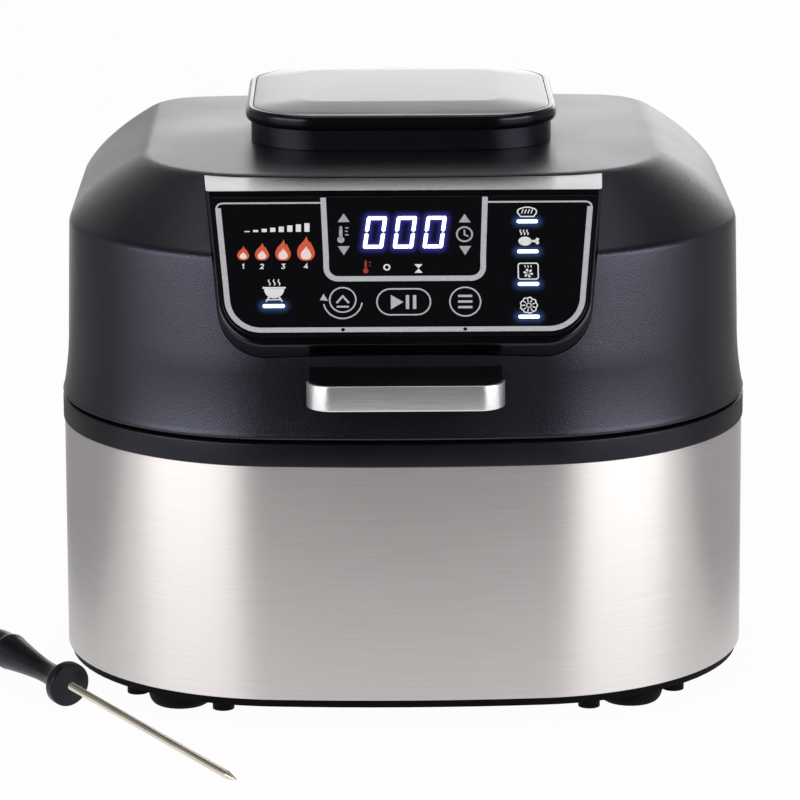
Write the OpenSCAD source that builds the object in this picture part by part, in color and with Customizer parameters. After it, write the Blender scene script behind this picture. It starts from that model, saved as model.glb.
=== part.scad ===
// Countertop electric grill and air fryer: steel drum base, lift-out pot and grill plate,
// hinged lid with fan, heater and control panel, and a separate meat probe. Millimetres, +Z up.
// The origin lies on the table under the middle of the base, and the front faces -Y.

/* [Base] */
// Width of the steel band
body_w = 382; // [366:1:396]
// Depth of the steel band, front to back
body_d = 370; // [360:1:380]
// Plan radius of the four corners
corner_r = 127; // [118:1:134]
// Radius of the slight bow of the front and back
bow_r = 900; // [700:10:1600]
// Height of the steel band
band_h = 131.5; // [124:0.5:140]
// Sheet thickness of the band
band_t = 0.8; // [0.6:0.1:1.2]
// Height of the black strip under the band
pan_lip_h = 4.5; // [3.5:0.5:6]
// Thickness of the base pan's floor
pan_t = 2.5; // [2:0.1:3]
// Height of the feet
foot_h = 10.5; // [8:0.5:14]
// Diameter of the feet
foot_d = 37; // [30:1:42]
// Foot centre from the side of the band
foot_in_x = 66; // [62:1:72]
// Foot centre from the front or back of the band
foot_in_y = 47; // [44:1:52]
// Diameter of the screw bosses under the pan
boss_d = 12; // [9:0.5:14]
// Drop of the screw bosses below the pan
boss_h = 4; // [3:0.5:6]

/* [Rim and well] */
// Height of the black rim above the band
rim_h = 13.5; // [12:0.5:16]
// Stand-out of the rim and of the lid's lower edge from the band
rim_proud = 1.5; // [1:0.1:2.2]
// Depth of the recess that takes the pot's flange
recess_h = 4; // [3.6:0.1:5]
// Inset of that recess from the band
recess_in = 18; // [16.5:0.5:19]
// Inset of the well's wall from the band
well_in = 26; // [24:0.5:27.5]
// Sheet thickness of the well and of the lid's heat dome
sheet_t = 0.8; // [0.6:0.1:1.2]
// Height of the well's floor above the table
well_z = 24; // [20:0.5:30]

/* [Pot and grill plate] */
// Inset of the pot's outer wall from the band
pot_in = 30; // [29:0.5:31]
// Thickness of the pot's wall and floor
pot_t = 2.5; // [2:0.1:3]
// Depth of the pot under its flange
pot_depth = 108; // [95:1:115]
// Depth of the shoulder that carries the grill plate
shoulder_depth = 45; // [40:1:55]
// Width of that shoulder
shoulder_w = 5.5; // [4:0.5:7]
// Thickness of the grill plate's floor
plate_t = 3; // [2.5:0.1:4]
// Height of the grill ribs above the floor
rib_h = 6; // [4:0.5:8]
// Width of a grill rib
rib_w = 5; // [4:0.5:6]
// Distance from rib to rib
rib_pitch = 13; // [12:0.5:16]
// Height of the plate's two lifting loops above its floor
loop_h = 15; // [13:0.5:18]

/* [Lid] */
// Gap between the rim and the lid
part_gap = 1; // [0.8:0.1:1.6]
// Height of the lid's flat top above its lower edge
lid_h = 130.5; // [128:0.5:136]
// Height of the shoulder crease above the lower edge
crease_h = 99; // [95:0.5:101]
// Wall of the lid shell
lid_wall = 2.8; // [2.2:0.1:3.2]
// Height over which the wall flares out to the lower edge
flare_h = 38; // [30:1:45]
// Set-back of the wall above the flare, from the lower edge
flare_in = 4; // [3:0.5:5]
// Further set-back of the side wall at the crease
crease_side_in = 1.5; // [1:0.5:3]
// Further set-back of the front wall at the crease
crease_front_in = 9.5; // [8:0.5:11]
// Further set-back of the back wall at the crease
crease_back_in = 4.5; // [3:0.5:6]
// Width of the flat top
top_w = 292; // [284:1:300]
// Front edge of the flat top, from the middle
top_front = 108; // [104:1:112]
// Back edge of the flat top, from the middle
top_back = 162; // [156:1:166]
// Plan radius of the flat top's corners
top_r = 70; // [60:1:80]
// Radius of the flat top's back corners
top_back_r = 30; // [24:1:60]
// Radius of the crease's back corners
crease_back_r = 90; // [70:1:110]
// Swell of the lid's shoulders between the crease and the top
shoulder_swell = 6; // [0:0.5:8]

/* [Control panel] */
// Top edge of the panel face, in front of the middle
panel_y = 145; // [143:0.5:148]
// Drop of the panel's top edge below the flat top
panel_drop = 1; // [0.6:0.1:2]
// Tilt of the panel face from upright, degrees
panel_tilt = 33; // [32:0.5:34]
// Length of the panel face down the slope
panel_len = 89; // [86:1:96]
// Width of the panel at its top edge
panel_w = 214; // [206:1:218]
// Taper of each side, degrees
panel_taper = 5.6; // [4:0.1:7]
// Radius of the two lower corners
panel_r = 27; // [20:1:32]
// Depth of the bezel housing behind the face
bezel_depth = 24; // [22:0.5:25]
// Side margin round the glass
glass_side = 2.7; // [2:0.1:4]
// Margin above the glass
glass_top = 3.4; // [2.5:0.1:5]
// Margin below the glass
glass_bottom = 5.2; // [4.5:0.1:12]
// Thickness of the glass
glass_t = 2; // [1.6:0.1:3]
// Width of the numeric display module
led_w = 62; // [56:1:66]
// Height of the numeric display module
led_h = 28; // [24:1:32]

/* [Handle] */
// Width of the handle
handle_w = 103.5; // [98:0.5:112]
// Front face of the handle, from the middle
handle_front = 213; // [210:0.5:216]
// Height of the handle's lower edge above the lid's lower edge
handle_low = 23.4; // [21:0.1:25]
// Height of the handle's front face
handle_face_h = 13.7; // [12:0.1:15]
// Rise of the handle's top towards the lid
handle_rise = 4.2; // [3:0.1:5]
// Thickness of the handle's top and ends
handle_wall = 6; // [5:0.1:7]
// Radius of the handle's front corners
handle_r = 13; // [8:0.5:14]
// Thickness of the steel trim
trim_t = 1; // [0.8:0.1:1.4]

/* [Top cap] */
// Width of the cap
cap_w = 178; // [170:1:184]
// Depth of the cap
cap_d = 172; // [164:1:176]
// Front edge of the cap, from the middle
cap_front = 35; // [32:0.5:38]
// Corner radius of the cap
cap_r = 42; // [30:1:48]
// Height of the vented neck
neck_h = 11.5; // [10:0.5:14]
// Inset of the neck under the frame
neck_in = 3; // [2:0.5:5]
// Height of the cap's black frame
frame_h = 8.5; // [7.5:0.5:10]
// Width of the black frame round the steel plate
frame_edge = 4; // [3.4:0.2:5]
// Width of the steel plate's bevel
bevel_w = 26; // [20:1:30]
// Rise of that bevel
bevel_h = 3.5; // [3:0.1:4.5]

/* [Heater and fan] */
// Fan axis behind the middle
fan_y = 10; // [6:0.5:14]
// Height of the heat dome above the liner's shelf
dome_h = 50; // [48:0.5:52]
// Inset of the dome's wall from the band
dome_in = 38; // [36.5:0.5:40]
// Diameter of the heater tube
tube_d = 6.5; // [6:0.1:7.5]
// Radius of the heater's outer turn
turn_out = 105; // [102:1:108]
// Radius of the heater's inner turn
turn_in = 78; // [76:1:80]
// Radius of the convection fan
fan_r = 60; // [54:1:64]
// Number of convection fan blades
fan_blades = 10; // [8:1:12]
// Radius of the cooling fan
cooler_r = 32; // [28:1:34]
// Radius of the motor shaft
shaft_r = 3; // [2.5:0.1:3.5]
// Radius of the motor
motor_r = 28; // [26:0.5:30]

/* [Hinge] */
// Distance of each hinge from the middle
hinge_x = 80; // [72:1:88]
// Distance of the hinge pin behind the band
hinge_out = 14; // [13:0.5:16]
// Height of the hinge pin above the rim
hinge_up = 0.5; // [0:0.1:1]
// Radius of the hinge knuckles
knuckle_r = 6.5; // [6:0.1:7]
// Length of the lid's knuckle
knuckle_l = 18; // [16:0.5:22]
// Length of each of the base's two ears
ear_l = 8; // [7:0.5:10]
// Radius of the hinge pin
pin_r = 2.5; // [2:0.1:3]

/* [Meat probe] */
// Length of the spike
spike_len = 163; // [150:1:175]
// Diameter of the spike
spike_d = 4.4; // [3.8:0.1:5]
// Length of the spike's point
point_len = 9; // [7:0.5:12]
// Diameter of the handle's front flange
flange_d = 25; // [22:0.5:28]
// Length of the handle behind the flange
grip_len = 82; // [78:1:95]

/* [Connections] */
// Radius of the cord gland's hole
gland_r = 4; // [3.5:0.1:4.5]
// Radius of the probe socket's hole
jack_r = 1.8; // [1.6:0.1:2.2]

/* [Hidden] */
// Clearance between pieces that are fixed together
fit_gap = 0.3;
// Clearance under pieces that lift out
seat_gap = 0.2;
// Radial clearance of a turning pin or shaft
run_gap = 0.05;
// Overshoot of cutting shapes
over = 1;

// Heights of the main levels
pan_z = foot_h;
band_z = pan_z + pan_lip_h;
band_top = band_z + band_h;
rim_top = band_top + rim_h;
ledge_z = rim_top - recess_h;
lid_z = rim_top + part_gap;
crease_z = lid_z + crease_h;
top_z = lid_z + lid_h;
liner_t = 4;
shelf_z = lid_z + 9.5;
shelf_t = 1.5;
dome_z = shelf_z + shelf_t;
dome_top = dome_z + dome_h + sheet_t;
guard_z = dome_z + 4;
heater_z = dome_z + 16;
fan_z = heater_z + 9;
motor_z = dome_top + 13;
motor_h = 30;
cooler_z = motor_z + motor_h + 4;
neck_top = top_z + neck_h;
frame_top = neck_top + frame_h;

// Half sizes of the plan
half_w = body_w / 2;
half_d = body_d / 2;

// Points of a rounded outline: half width a, front f, back b, corner radius r, and bowed ends of radius q.
// The back corners may have a radius of their own, rb. It runs counter-clockwise from the left end of the
// front, with ne steps on an end and nc on a corner.
function arc(c, r, a0, a1, n, first, less = 0) =
  [for (i = [first:n - less]) c + r * [cos(a0 + (a1 - a0) * i / n), sin(a0 + (a1 - a0) * i / n)]];
function outline(a, f, b, r, q, ne, nc, rb = undef) =
  let (
    k = is_undef(rb) ? r : rb,
    x = a - r,
    xb = a - k,
    t = asin(x / (q - r)),
    tb = asin(xb / (q - k)),
    yf = q - f - sqrt((q - r) ^ 2 - x ^ 2),
    yb = b - q + sqrt((q - k) ^ 2 - xb ^ 2)
  )
  concat(
    arc([0, q - f], q, 270 - t, 270 + t, ne, 0),
    arc([x, yf], r, 270 + t, 360, nc, 1),
    arc([xb, yb], k, 0, 90 - tb, nc, 0),
    arc([0, b - q], q, 90 - tb, 90 + tb, ne, 1),
    arc([-xb, yb], k, 90 + tb, 180, nc, 1),
    arc([-x, yf], r, 180, 270 - t, nc, 0, 1)
  );
// Steps on the ends and the corners of the fine outlines and of the plainer inner ones
fine = [8, 20];
plain = [4, 11];
// The body's plan, set in by t
function plan(t, n = fine) =
  outline(half_w - t, half_d - t, half_d - t, corner_r - t, bow_r - t, n[0], n[1]);

module plan_ring(t0, t1, n = fine) {
  difference() {
    polygon(plan(t0, n));
    polygon(plan(t1, n));
  }
}
module slab(z, h) {
  translate([0, 0, z])
    linear_extrude(h)
      children();
}

// A closed skin through rings of equal point counts, each [height, points], capped at both ends
module loft(rings) {
  n = len(rings[0][1]);
  m = len(rings);
  points = [for (r = rings) for (p = r[1]) [p.x, p.y, r[0]]];
  sides = [
    for (k = [0:m - 2]) for (i = [0:n - 1])
      let (j = (i + 1) % n)
      each [
        [k * n + j, k * n + i, (k + 1) * n + j],
        [k * n + i, (k + 1) * n + i, (k + 1) * n + j]
      ]
  ];
  caps = [
    [for (i = [0:n - 1]) i],
    [for (i = [n - 1:-1:0]) (m - 1) * n + i]
  ];
  polyhedron(points, concat(sides, caps));
}
function reversed(list) = [for (i = [len(list) - 1:-1:0]) list[i]];
function mix(p, q, u) = p * (1 - u) + q * u;

// The lid's skin from the lower edge to the flat top, as
// [height, half width, front, back, radius of the front corners, radius of the back corners]
lip = [
  lid_z, half_w + rim_proud, half_d + rim_proud, half_d + rim_proud, corner_r + rim_proud, corner_r + rim_proud
];
waist = lip + [flare_h, -flare_in, -flare_in, -flare_in, -flare_in, -flare_in];
crease = [
  crease_z,
  waist[1] - crease_side_in,
  waist[2] - crease_front_in,
  waist[3] - crease_back_in,
  waist[4] - crease_front_in,
  crease_back_r
];
top_edge = [top_z, top_w / 2, top_front, top_back, top_r, top_back_r];
soft_top = [0, -2.5, -2.5, -2.5, -2.5, -2.5];
// A section between the crease and the top, swelled at its sides and back
function shoulder(u) =
  let (k = shoulder_swell * 4 * u * (1 - u))
  mix(crease, top_edge, u) + [0, k, 0, k, k / 2, k];
lid_skin = concat(
  [
    for (u = [0:0.25:1])
      let (v = 1 - (1 - u) ^ 2)
      concat([mix(lip[0], waist[0], u)], [for (i = [1:5]) mix(lip[i], waist[i], v)])
  ],
  [
    mix(waist, crease, 0.93),
    shoulder(0.015) - [0.9, 0, 0, 0, 0, 0],
    shoulder(0.09),
    shoulder(0.3),
    shoulder(0.5),
    shoulder(0.72),
    shoulder(0.94),
    shoulder(0.985) - [0.15, 0, 0, 0, 0, 0],
    top_edge + soft_top
  ]
);
lid_steps = [6, 14];
function skin_ring(s, t, drop) = [
  s[0] - drop,
  outline(s[1] - t, s[2] - t, s[3] - t, s[4] - t, bow_r - t, lid_steps[0], lid_steps[1], s[5] - t)
];
function inner_drop(z) = z >= top_z ? lid_wall : z > crease_z ? lid_wall / 2 : 0;

// The lid filled solid, grown by g, against which the outer pieces are fitted
module lid_solid(g) {
  loft([for (s = lid_skin) skin_ring(s, -g, s[0] >= top_z ? -g : 0)]);
}

// Panel face: local X across, local Y up the slope and local Z out of the face, from its top edge
panel_z = top_z - panel_drop;
module on_panel() {
  translate([0, -panel_y, panel_z])
    rotate([90 - panel_tilt, 0, 0])
      children();
}
// Panel outline set in by e at the sides, from y1 above the top edge to s1 down the slope
function panel_points(e, y1, s1, r) =
  let (
    k = tan(panel_taper),
    w = panel_w / 2 - e / cos(panel_taper),
    yc = r - s1,
    xc = w + k * (yc - r * sin(panel_taper)) - r * cos(panel_taper),
    right = arc([xc, yc], r, 270, 360 - panel_taper, 9, 0)
  )
  concat(right, [[w + k * y1, y1], [-w - k * y1, y1]], [for (p = reversed(right)) [-p.x, p.y]]);
ledge_len = 46;
ledge_t = 12;
// The bezel's side profile in the panel's own Y and Z: face, level ledge at the top, and back
function ledge_point(back, down) =
  [back * sin(panel_tilt) - down * cos(panel_tilt), -back * cos(panel_tilt) - down * sin(panel_tilt)];
module bezel_block(g) {
  clear = 20;
  face = g > 0 ? clear : 0;
  profile = concat(
    g > 0 ? [[g, face]] : [],
    [
      ledge_point(0, -g),
      ledge_point(ledge_len + g, -g),
      ledge_point(ledge_len + g, ledge_t + g),
      [-ledge_len / 2, -bezel_depth - g],
      [-panel_len - g, -bezel_depth - g],
      [-panel_len - g, face]
    ]
  );
  top_y = ledge_len * sin(panel_tilt) + over;
  reach = ledge_len + bezel_depth;
  difference() {
    on_panel()
      intersection() {
        rotate([90, 0, 90])
          translate([0, 0, -panel_w])
            linear_extrude(2 * panel_w)
              polygon(profile);
        translate([0, 0, -reach])
          linear_extrude(reach + face)
            polygon(panel_points(-g, top_y, panel_len + g, panel_r + g));
      }
    slab(crease_z - over, top_z - crease_z + 2 * over)
      polygon(outline(
        top_w / 2 + fit_gap - g, top_front + fit_gap - g, top_back, top_r + fit_gap - g,
        bow_r, lid_steps[0], lid_steps[1]
      ));
  }
}

// Feet and pan
foot_places = [
  for (p = [["front_left", -1, -1], ["front_right", 1, -1], ["rear_left", -1, 1], ["rear_right", 1, 1]])
    ["foot_" , p[0], [p[1] * (half_w - foot_in_x), p[2] * (half_d - foot_in_y)]]
];
FEET = [for (f = foot_places) str(f[0], f[1])];
stem_r = 4;
boss_angles = [3, 44, 72];
boss_in = 9;
corner_c = [half_w - corner_r, half_d - corner_r];
boss_places = [
  for (sx = [-1, 1]) for (sy = [-1, 1]) for (a = boss_angles)
    let (p = corner_c + (corner_r - boss_in) * [cos(a), sin(a)])
    [sx * p.x, sy * p.y]
];
pan_in = 0.6;
upstand_in = band_t + fit_gap;
upstand_t = 2.4;
upstand_h = 12;

module base_pan() {
  color("#1b1b1d")
    difference() {
      union() {
        slab(pan_z, pan_t)
          polygon(plan(pan_in));
        slab(pan_z, pan_lip_h)
          plan_ring(pan_in, pan_in + 5);
        slab(pan_z, pan_lip_h + upstand_h)
          plan_ring(upstand_in, upstand_in + upstand_t);
        for (p = boss_places)
          translate([p.x, p.y, pan_z - boss_h])
            cylinder(d = boss_d, h = boss_h + pan_t, $fn = 48);
      }
      for (f = foot_places)
        translate([f[2].x, f[2].y, pan_z - over])
          cylinder(r = stem_r + fit_gap, h = pan_t + 2 * over, $fn = 48);
      for (p = boss_places)
        translate([p.x, p.y, pan_z - boss_h - over])
          cylinder(r = screw_r + 1.9, h = boss_h + over, $fn = 48);
      for (x = [-5:5]) for (y = [-1, 1])
        translate([x * 11 - 2.5, y * 40 - 22, pan_z - over])
          cube([5, 44, pan_t + 2 * over]);
    }
}
screw_r = 1.6;
module base_screws() {
  color("#5b5b5e")
    for (p = boss_places)
      translate([p.x, p.y, pan_z - 2.4])
        cylinder(r = screw_r + 1.6, h = 2.4, $fn = 32);
}
module foot(i) {
  p = foot_places[i][2];
  head_z = pan_z + pan_t;
  color("#141414")
    translate([p.x, p.y, 0])
      rotate_extrude($fn = 72)
        polygon([
          [0, 0], [foot_d / 2 - 2, 0], [foot_d / 2, 2], [foot_d / 2 - 1, foot_h], [stem_r, foot_h],
          [stem_r, head_z], [stem_r + 1.8, head_z], [stem_r + 0.4, head_z + 2.4], [0, head_z + 2.4]
        ]);
}

// Steel band, open at the back for the panel that carries the cord gland and the probe socket
gland_x = 40;
gland_z = band_z + 28;
gland_neck_r = gland_r + 3;
jack_x = -30;
jack_z = band_z + 92;
jack_neck_r = jack_r + 3;
back_half = 62;
back_lip = 8;
back_t = 2.8;
// Back face of the bowed band at a given x
function back_y(x) = half_d - bow_r + sqrt(bow_r ^ 2 - x ^ 2);
gland_y = back_y(gland_x);
jack_y = back_y(jack_x);

module rear_window(g) {
  translate([-back_half - g, 0, 0])
    cube([2 * (back_half + g), half_d + over, rim_top]);
}
module steel_band() {
  color("#c8c8c6")
    difference() {
      slab(band_z, band_h)
        plan_ring(0, band_t);
      rear_window(0);
    }
}
// Back panel: flush with the band, thicker between the upstands, with lips behind the band's ends
module back_panel() {
  mid_z = band_z + upstand_h + over;
  mid_h = band_h - 2 * upstand_h - 2 * over;
  color("#1b1b1d")
    difference() {
      union() {
        intersection() {
          slab(band_z, band_h)
            plan_ring(0, band_t);
          rear_window(-seat_gap);
        }
        intersection() {
          slab(mid_z, mid_h)
            plan_ring(0, back_t);
          rear_window(-seat_gap);
        }
        intersection() {
          slab(mid_z, mid_h)
            plan_ring(band_t + seat_gap, back_t);
          rear_window(back_lip);
        }
      }
      translate([gland_x, gland_y - 12, gland_z])
        rotate([-90, 0, 0])
          cylinder(r = gland_neck_r + fit_gap, h = 24, $fn = 64);
      translate([jack_x, jack_y - 12, jack_z])
        rotate([-90, 0, 0])
          cylinder(r = jack_neck_r + fit_gap, h = 24, $fn = 64);
    }
}

// Rim, with the recess for the pot, two finger scoops and the flat hinge pads
rim_in = well_in - fit_gap;
pad_y = half_d + rim_proud + 1.5;
pad_w = knuckle_l + 2 * ear_l + 6;
scoop_r = 30;
scoop_out = 10;
module rim_ring() {
  color("#1b1b1d")
    difference() {
      union() {
        slab(band_top, rim_h)
          plan_ring(-rim_proud, rim_in);
        slab(band_top - upstand_h, upstand_h + over)
          plan_ring(upstand_in, upstand_in + upstand_t);
        for (s = [-1, 1])
          translate([s * hinge_x - pad_w / 2, pad_y - 14, band_top])
            cube([pad_w, 14, rim_h]);
      }
      slab(ledge_z, recess_h + over)
        polygon(plan(recess_in));
      slab(band_top - over, rim_h - recess_h - 3 + over)
        plan_ring(recess_in - 8, rim_in - 2.4);
      for (s = [-1, 1])
        translate([s * (half_w - recess_in + scoop_out - scoop_r), 0, ledge_z])
          cylinder(r = scoop_r, h = recess_h + over, $fn = 96);
    }
}

// Well: a sheet bucket that hangs by its flange on the rim's ledge and screens the wiring
module inner_well() {
  color("#8f9092")
    union() {
      slab(ledge_z, sheet_t)
        plan_ring(recess_in + fit_gap, well_in + sheet_t, plain);
      slab(well_z, ledge_z - well_z + sheet_t)
        plan_ring(well_in + fit_gap, well_in + fit_gap + sheet_t, plain);
      slab(well_z, sheet_t)
        polygon(plan(well_in + fit_gap, plain));
    }
}
// Spacers that carry the well's floor on the pan
spacer_x = 90;
spacer_y = 85;
module well_spacers() {
  color("#3a3a3c")
    for (sx = [-1, 1]) for (sy = [-1, 1])
      translate([sx * spacer_x, sy * spacer_y, pan_z + pan_t])
        cylinder(r = 7, h = well_z - pan_z - pan_t, $fn = 48);
}

// Cord gland in the back panel
module cord_gland() {
  color("#161616")
    translate([gland_x, gland_y, gland_z])
      rotate([-90, 0, 0])
        difference() {
          union() {
            translate([0, 0, -9])
              cylinder(r = gland_neck_r, h = 12, $fn = 64);
            translate([0, 0, 0.8])
              cylinder(r1 = gland_neck_r + 3.4, r2 = gland_neck_r, h = 7, $fn = 64);
          }
          translate([0, 0, -10])
            cylinder(r = gland_r, h = 24, $fn = 64);
        }
}
// Three-way mains terminal block on the pan, beside the gland
block_y = half_d - well_in / 2 - 1;
module terminal_block() {
  color("#d9d5c8")
    translate([gland_x - 66, block_y - 12, pan_z + pan_t])
      difference() {
        cube([36, 15, 16]);
        for (i = [0:2])
          translate([6 + i * 12, 7.5, 8])
            cylinder(r = 2.6, h = 9, $fn = 32);
      }
}
// Socket for the probe's plug, beside the gland
module probe_jack() {
  deep = 15.2;
  color("#161616")
    translate([jack_x, jack_y, jack_z])
      rotate([-90, 0, 0])
        difference() {
          union() {
            translate([0, 0, 0.4])
              cylinder(r = jack_neck_r + 2.4, h = 1.6, $fn = 64);
            translate([0, 0, -deep])
              cylinder(r = jack_neck_r, h = deep + 1.2, $fn = 64);
          }
          translate([0, 0, 2.2 - deep])
            cylinder(r = jack_r, h = deep + 1, $fn = 64);
        }
}

// Hinges: two ears on the base, one knuckle on the lid and a pin at each side
pin_y = half_d + hinge_out;
pin_z = rim_top + hinge_up;
ear_gap = 0.4;
bracket_t = 2.6;
bracket_w = knuckle_l + 2 * (ear_l + ear_gap);
module hinge_bracket(s) {
  color("#2a2a2c")
    translate([s * hinge_x, 0, 0])
      difference() {
        union() {
          translate([-bracket_w / 2, pad_y, band_top + 0.5])
            cube([bracket_w, bracket_t, rim_h - 2]);
          for (e = [-1, 1])
            translate([e * (knuckle_l + 2 * ear_gap + ear_l) / 2 - ear_l / 2, 0, 0])
              rotate([90, 0, 90])
                linear_extrude(ear_l)
                  union() {
                    translate([pin_y, pin_z])
                      circle(r = knuckle_r, $fn = 72);
                    polygon([
                      [pad_y, band_top + 0.5], [pad_y + 4, band_top + 0.5],
                      [pin_y + knuckle_r * 0.7, pin_z - knuckle_r * 0.7], [pin_y, pin_z],
                      [pin_y - knuckle_r * 0.7, pin_z + knuckle_r * 0.2], [pad_y, rim_top - 1.5]
                    ]);
                  }
        }
        translate([-bracket_w, pin_y, pin_z])
          rotate([0, 90, 0])
            cylinder(r = pin_r + run_gap / 2, h = 2 * bracket_w, $fn = 64);
      }
}
module hinge_pin(s) {
  color("#b9bbbd")
    translate([s * hinge_x - bracket_w / 2 - 0.5, pin_y, pin_z])
      rotate([0, 90, 0])
        cylinder(r = pin_r, h = bracket_w + 1, $fn = 64);
}
arm_h = 34;
module lid_hinge(s) {
  color("#2a2a2c")
    difference() {
      translate([s * hinge_x - knuckle_l / 2, 0, 0])
        rotate([90, 0, 90])
          linear_extrude(knuckle_l)
            union() {
              translate([pin_y, pin_z])
                circle(r = knuckle_r, $fn = 72);
              polygon([
                [pin_y - 1, pin_z - 1], [pin_y + knuckle_r * 0.8, pin_z + knuckle_r * 0.6],
                [pin_y - 8, lid_z + arm_h], [half_d - 12, lid_z + arm_h],
                [half_d - 12, lid_z + 4], [pin_y - 8, lid_z + 4]
              ]);
            }
      lid_solid(seat_gap);
      translate([s * hinge_x - knuckle_l, pin_y, pin_z])
        rotate([0, 90, 0])
          cylinder(r = pin_r + run_gap, h = 2 * knuckle_l, $fn = 64);
    }
}

// Pot: flanged, with a shoulder half way down and a rounded floor
flange_t = 2.4;
flange_z = ledge_z + sheet_t + seat_gap;
pot_z = flange_z - pot_depth;
rest_z = flange_z - shoulder_depth;
low_in = pot_in + shoulder_w;
module cooking_pot() {
  inner = [
    [pot_z + pot_t, low_in + pot_t + 11],
    [pot_z + pot_t + 2.5, low_in + pot_t + 5],
    [pot_z + pot_t + 9, low_in + pot_t + 1],
    [rest_z, low_in + pot_t],
    [rest_z, pot_in + pot_t + 0.4],
    [flange_z - 2, pot_in + pot_t],
    [flange_z + flange_t, pot_in + pot_t - 1.5]
  ];
  outer = [
    [flange_z + flange_t, recess_in + 1.4],
    [flange_z + flange_t - 0.8, recess_in + 0.8],
    [flange_z, recess_in + 0.8],
    [flange_z, pot_in],
    [rest_z - pot_t + 1, pot_in + 0.4],
    [rest_z - pot_t, low_in],
    [pot_z + 9, low_in + 1],
    [pot_z + 2.5, low_in + 5],
    [pot_z, low_in + 11]
  ];
  color("#2b2b2d")
    loft([for (r = reversed(concat(inner, outer))) [r[0], plan(r[1], plain)]]);
}

// Grill plate: raised ribs over a slotted floor, and a border that sits on the pot's shoulder
plate_z = rest_z + seat_gap;
plate_in = pot_in + pot_t + 1.6;
border_w = 6;
loop_x = (floor((half_w - plate_in - border_w - 14) / rib_pitch - 0.5) + 0.5) * rib_pitch;
loop_wire = 2.5;
loop_r = 18.3;
module grill_plate() {
  ribs = floor((half_w - plate_in - border_w) / rib_pitch);
  slots = floor((half_d - plate_in - border_w) / 44);
  color("#262628")
    union() {
      slab(plate_z, plate_t)
        difference() {
          polygon(plan(plate_in, plain));
          intersection() {
            polygon(plan(plate_in + border_w + 4, plain));
            for (i = [-ribs:ribs - 1]) for (j = [-slots:slots])
              translate([(i + 0.5) * rib_pitch - 2.5, j * 40 - 13])
                square([5, 26]);
          }
        }
      slab(plate_z + plate_t - 0.5, rib_h * 0.6 + 0.5)
        plan_ring(plate_in, plate_in + border_w, plain);
      slab(plate_z + plate_t - 0.5, rib_h + 0.5)
        intersection() {
          polygon(plan(plate_in + border_w - 1, plain));
          for (i = [-ribs:ribs])
            translate([i * rib_pitch - rib_w / 2, -half_d])
              square([rib_w, body_d]);
        }
    }
}
// Two wire loops that lift the plate, standing between its ribs
module plate_loops() {
  drop = loop_r + loop_wire - loop_h;
  color("#b9bbbd")
    for (s = [-1, 1])
      translate([s * loop_x, 0, plate_z + plate_t])
        intersection() {
          translate([0, 0, -drop])
            rotate([0, 90, 0])
              rotate_extrude($fn = 96)
                translate([loop_r, 0])
                  circle(r = loop_wire, $fn = 32);
          translate([-10, -2 * loop_r, 0])
            cube([20, 4 * loop_r, 4 * loop_r]);
        }
}

// Lid shell, cut for the panel, the fan's air and the louvres in its back
louvres = 11;
louvre_pitch = 9;
louvre_w = 4;
louvre_h = 28;
louvre_up = 44;
louvre_reach = 24;
air_r = 24;
module lid_shell() {
  outer = [for (s = lid_skin) skin_ring(s, 0, 0)];
  inner = [for (s = lid_skin) skin_ring(s, lid_wall, inner_drop(s[0]))];
  color("#1d1d20")
    difference() {
      loft(concat(reversed(inner), outer));
      bezel_block(fit_gap);
      translate([0, fan_y + 18, top_z - lid_wall - over])
        cylinder(r = air_r, h = lid_wall + 2 * over, $fn = 96);
      for (i = [0:louvres - 1])
        translate([(i - (louvres - 1) / 2) * louvre_pitch - louvre_w / 2, half_d - louvre_reach, lid_z + louvre_up])
          cube([louvre_w, 2 * louvre_reach, louvre_h]);
    }
}
// Liner: stepped frame that closes the lid's underside round the heat dome
liner_in = lid_wall - rim_proud + flare_in * (1 - (1 - liner_t / flare_h) ^ 2) + 2 * fit_gap;
step_in = recess_in - 6;
seal_in = 7;
seal_w = 4;
seal_h = 2.5;
module lid_liner() {
  color("#232325")
    difference() {
      union() {
        slab(lid_z, liner_t)
          plan_ring(liner_in, step_in + 1.8);
        slab(lid_z, shelf_z + shelf_t - lid_z)
          plan_ring(step_in, step_in + 1.8);
        slab(shelf_z, shelf_t)
          plan_ring(step_in, dome_in + sheet_t);
      }
      slab(lid_z - over, seal_h + over)
        plan_ring(seal_in, seal_in + seal_w);
    }
}
module lid_seal() {
  color("#3c3c3f")
    slab(rim_top + fit_gap, lid_z + seal_h - rim_top - fit_gap)
      plan_ring(seal_in + seat_gap, seal_in + seal_w - seat_gap);
}

// Heat dome: sheet box over the food that holds the heater, the fan and the splash guard
post_places = [for (sx = [-1, 1]) for (sy = [-1, 1]) [sx * 34, fan_y + sy * 34]];
module heat_dome() {
  color("#b4b5b6")
    difference() {
      union() {
        slab(dome_z, sheet_t)
          plan_ring(step_in + 6, dome_in + sheet_t, plain);
        slab(dome_z, dome_h + sheet_t)
          plan_ring(dome_in, dome_in + sheet_t, plain);
        slab(dome_z + dome_h, sheet_t)
          polygon(plan(dome_in, plain));
        for (s = [-1, 1])
          translate([s * (half_w - dome_in - 5) - 5, -12, guard_z - 1])
            cube([10, 24, 1]);
        for (s = [-1, 1])
          translate([-12, s * (half_d - dome_in - 5) - 5, guard_z - 1])
            cube([24, 10, 1]);
      }
      translate([0, fan_y, dome_z + dome_h - over])
        cylinder(r = shaft_r + 3, h = sheet_t + 2 * over, $fn = 64);
      at_tails()
        translate([0, 0, dome_z + dome_h - over])
          cylinder(r = bush_r + seat_gap, h = sheet_t + 2 * over, $fn = 48);
    }
}
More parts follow.
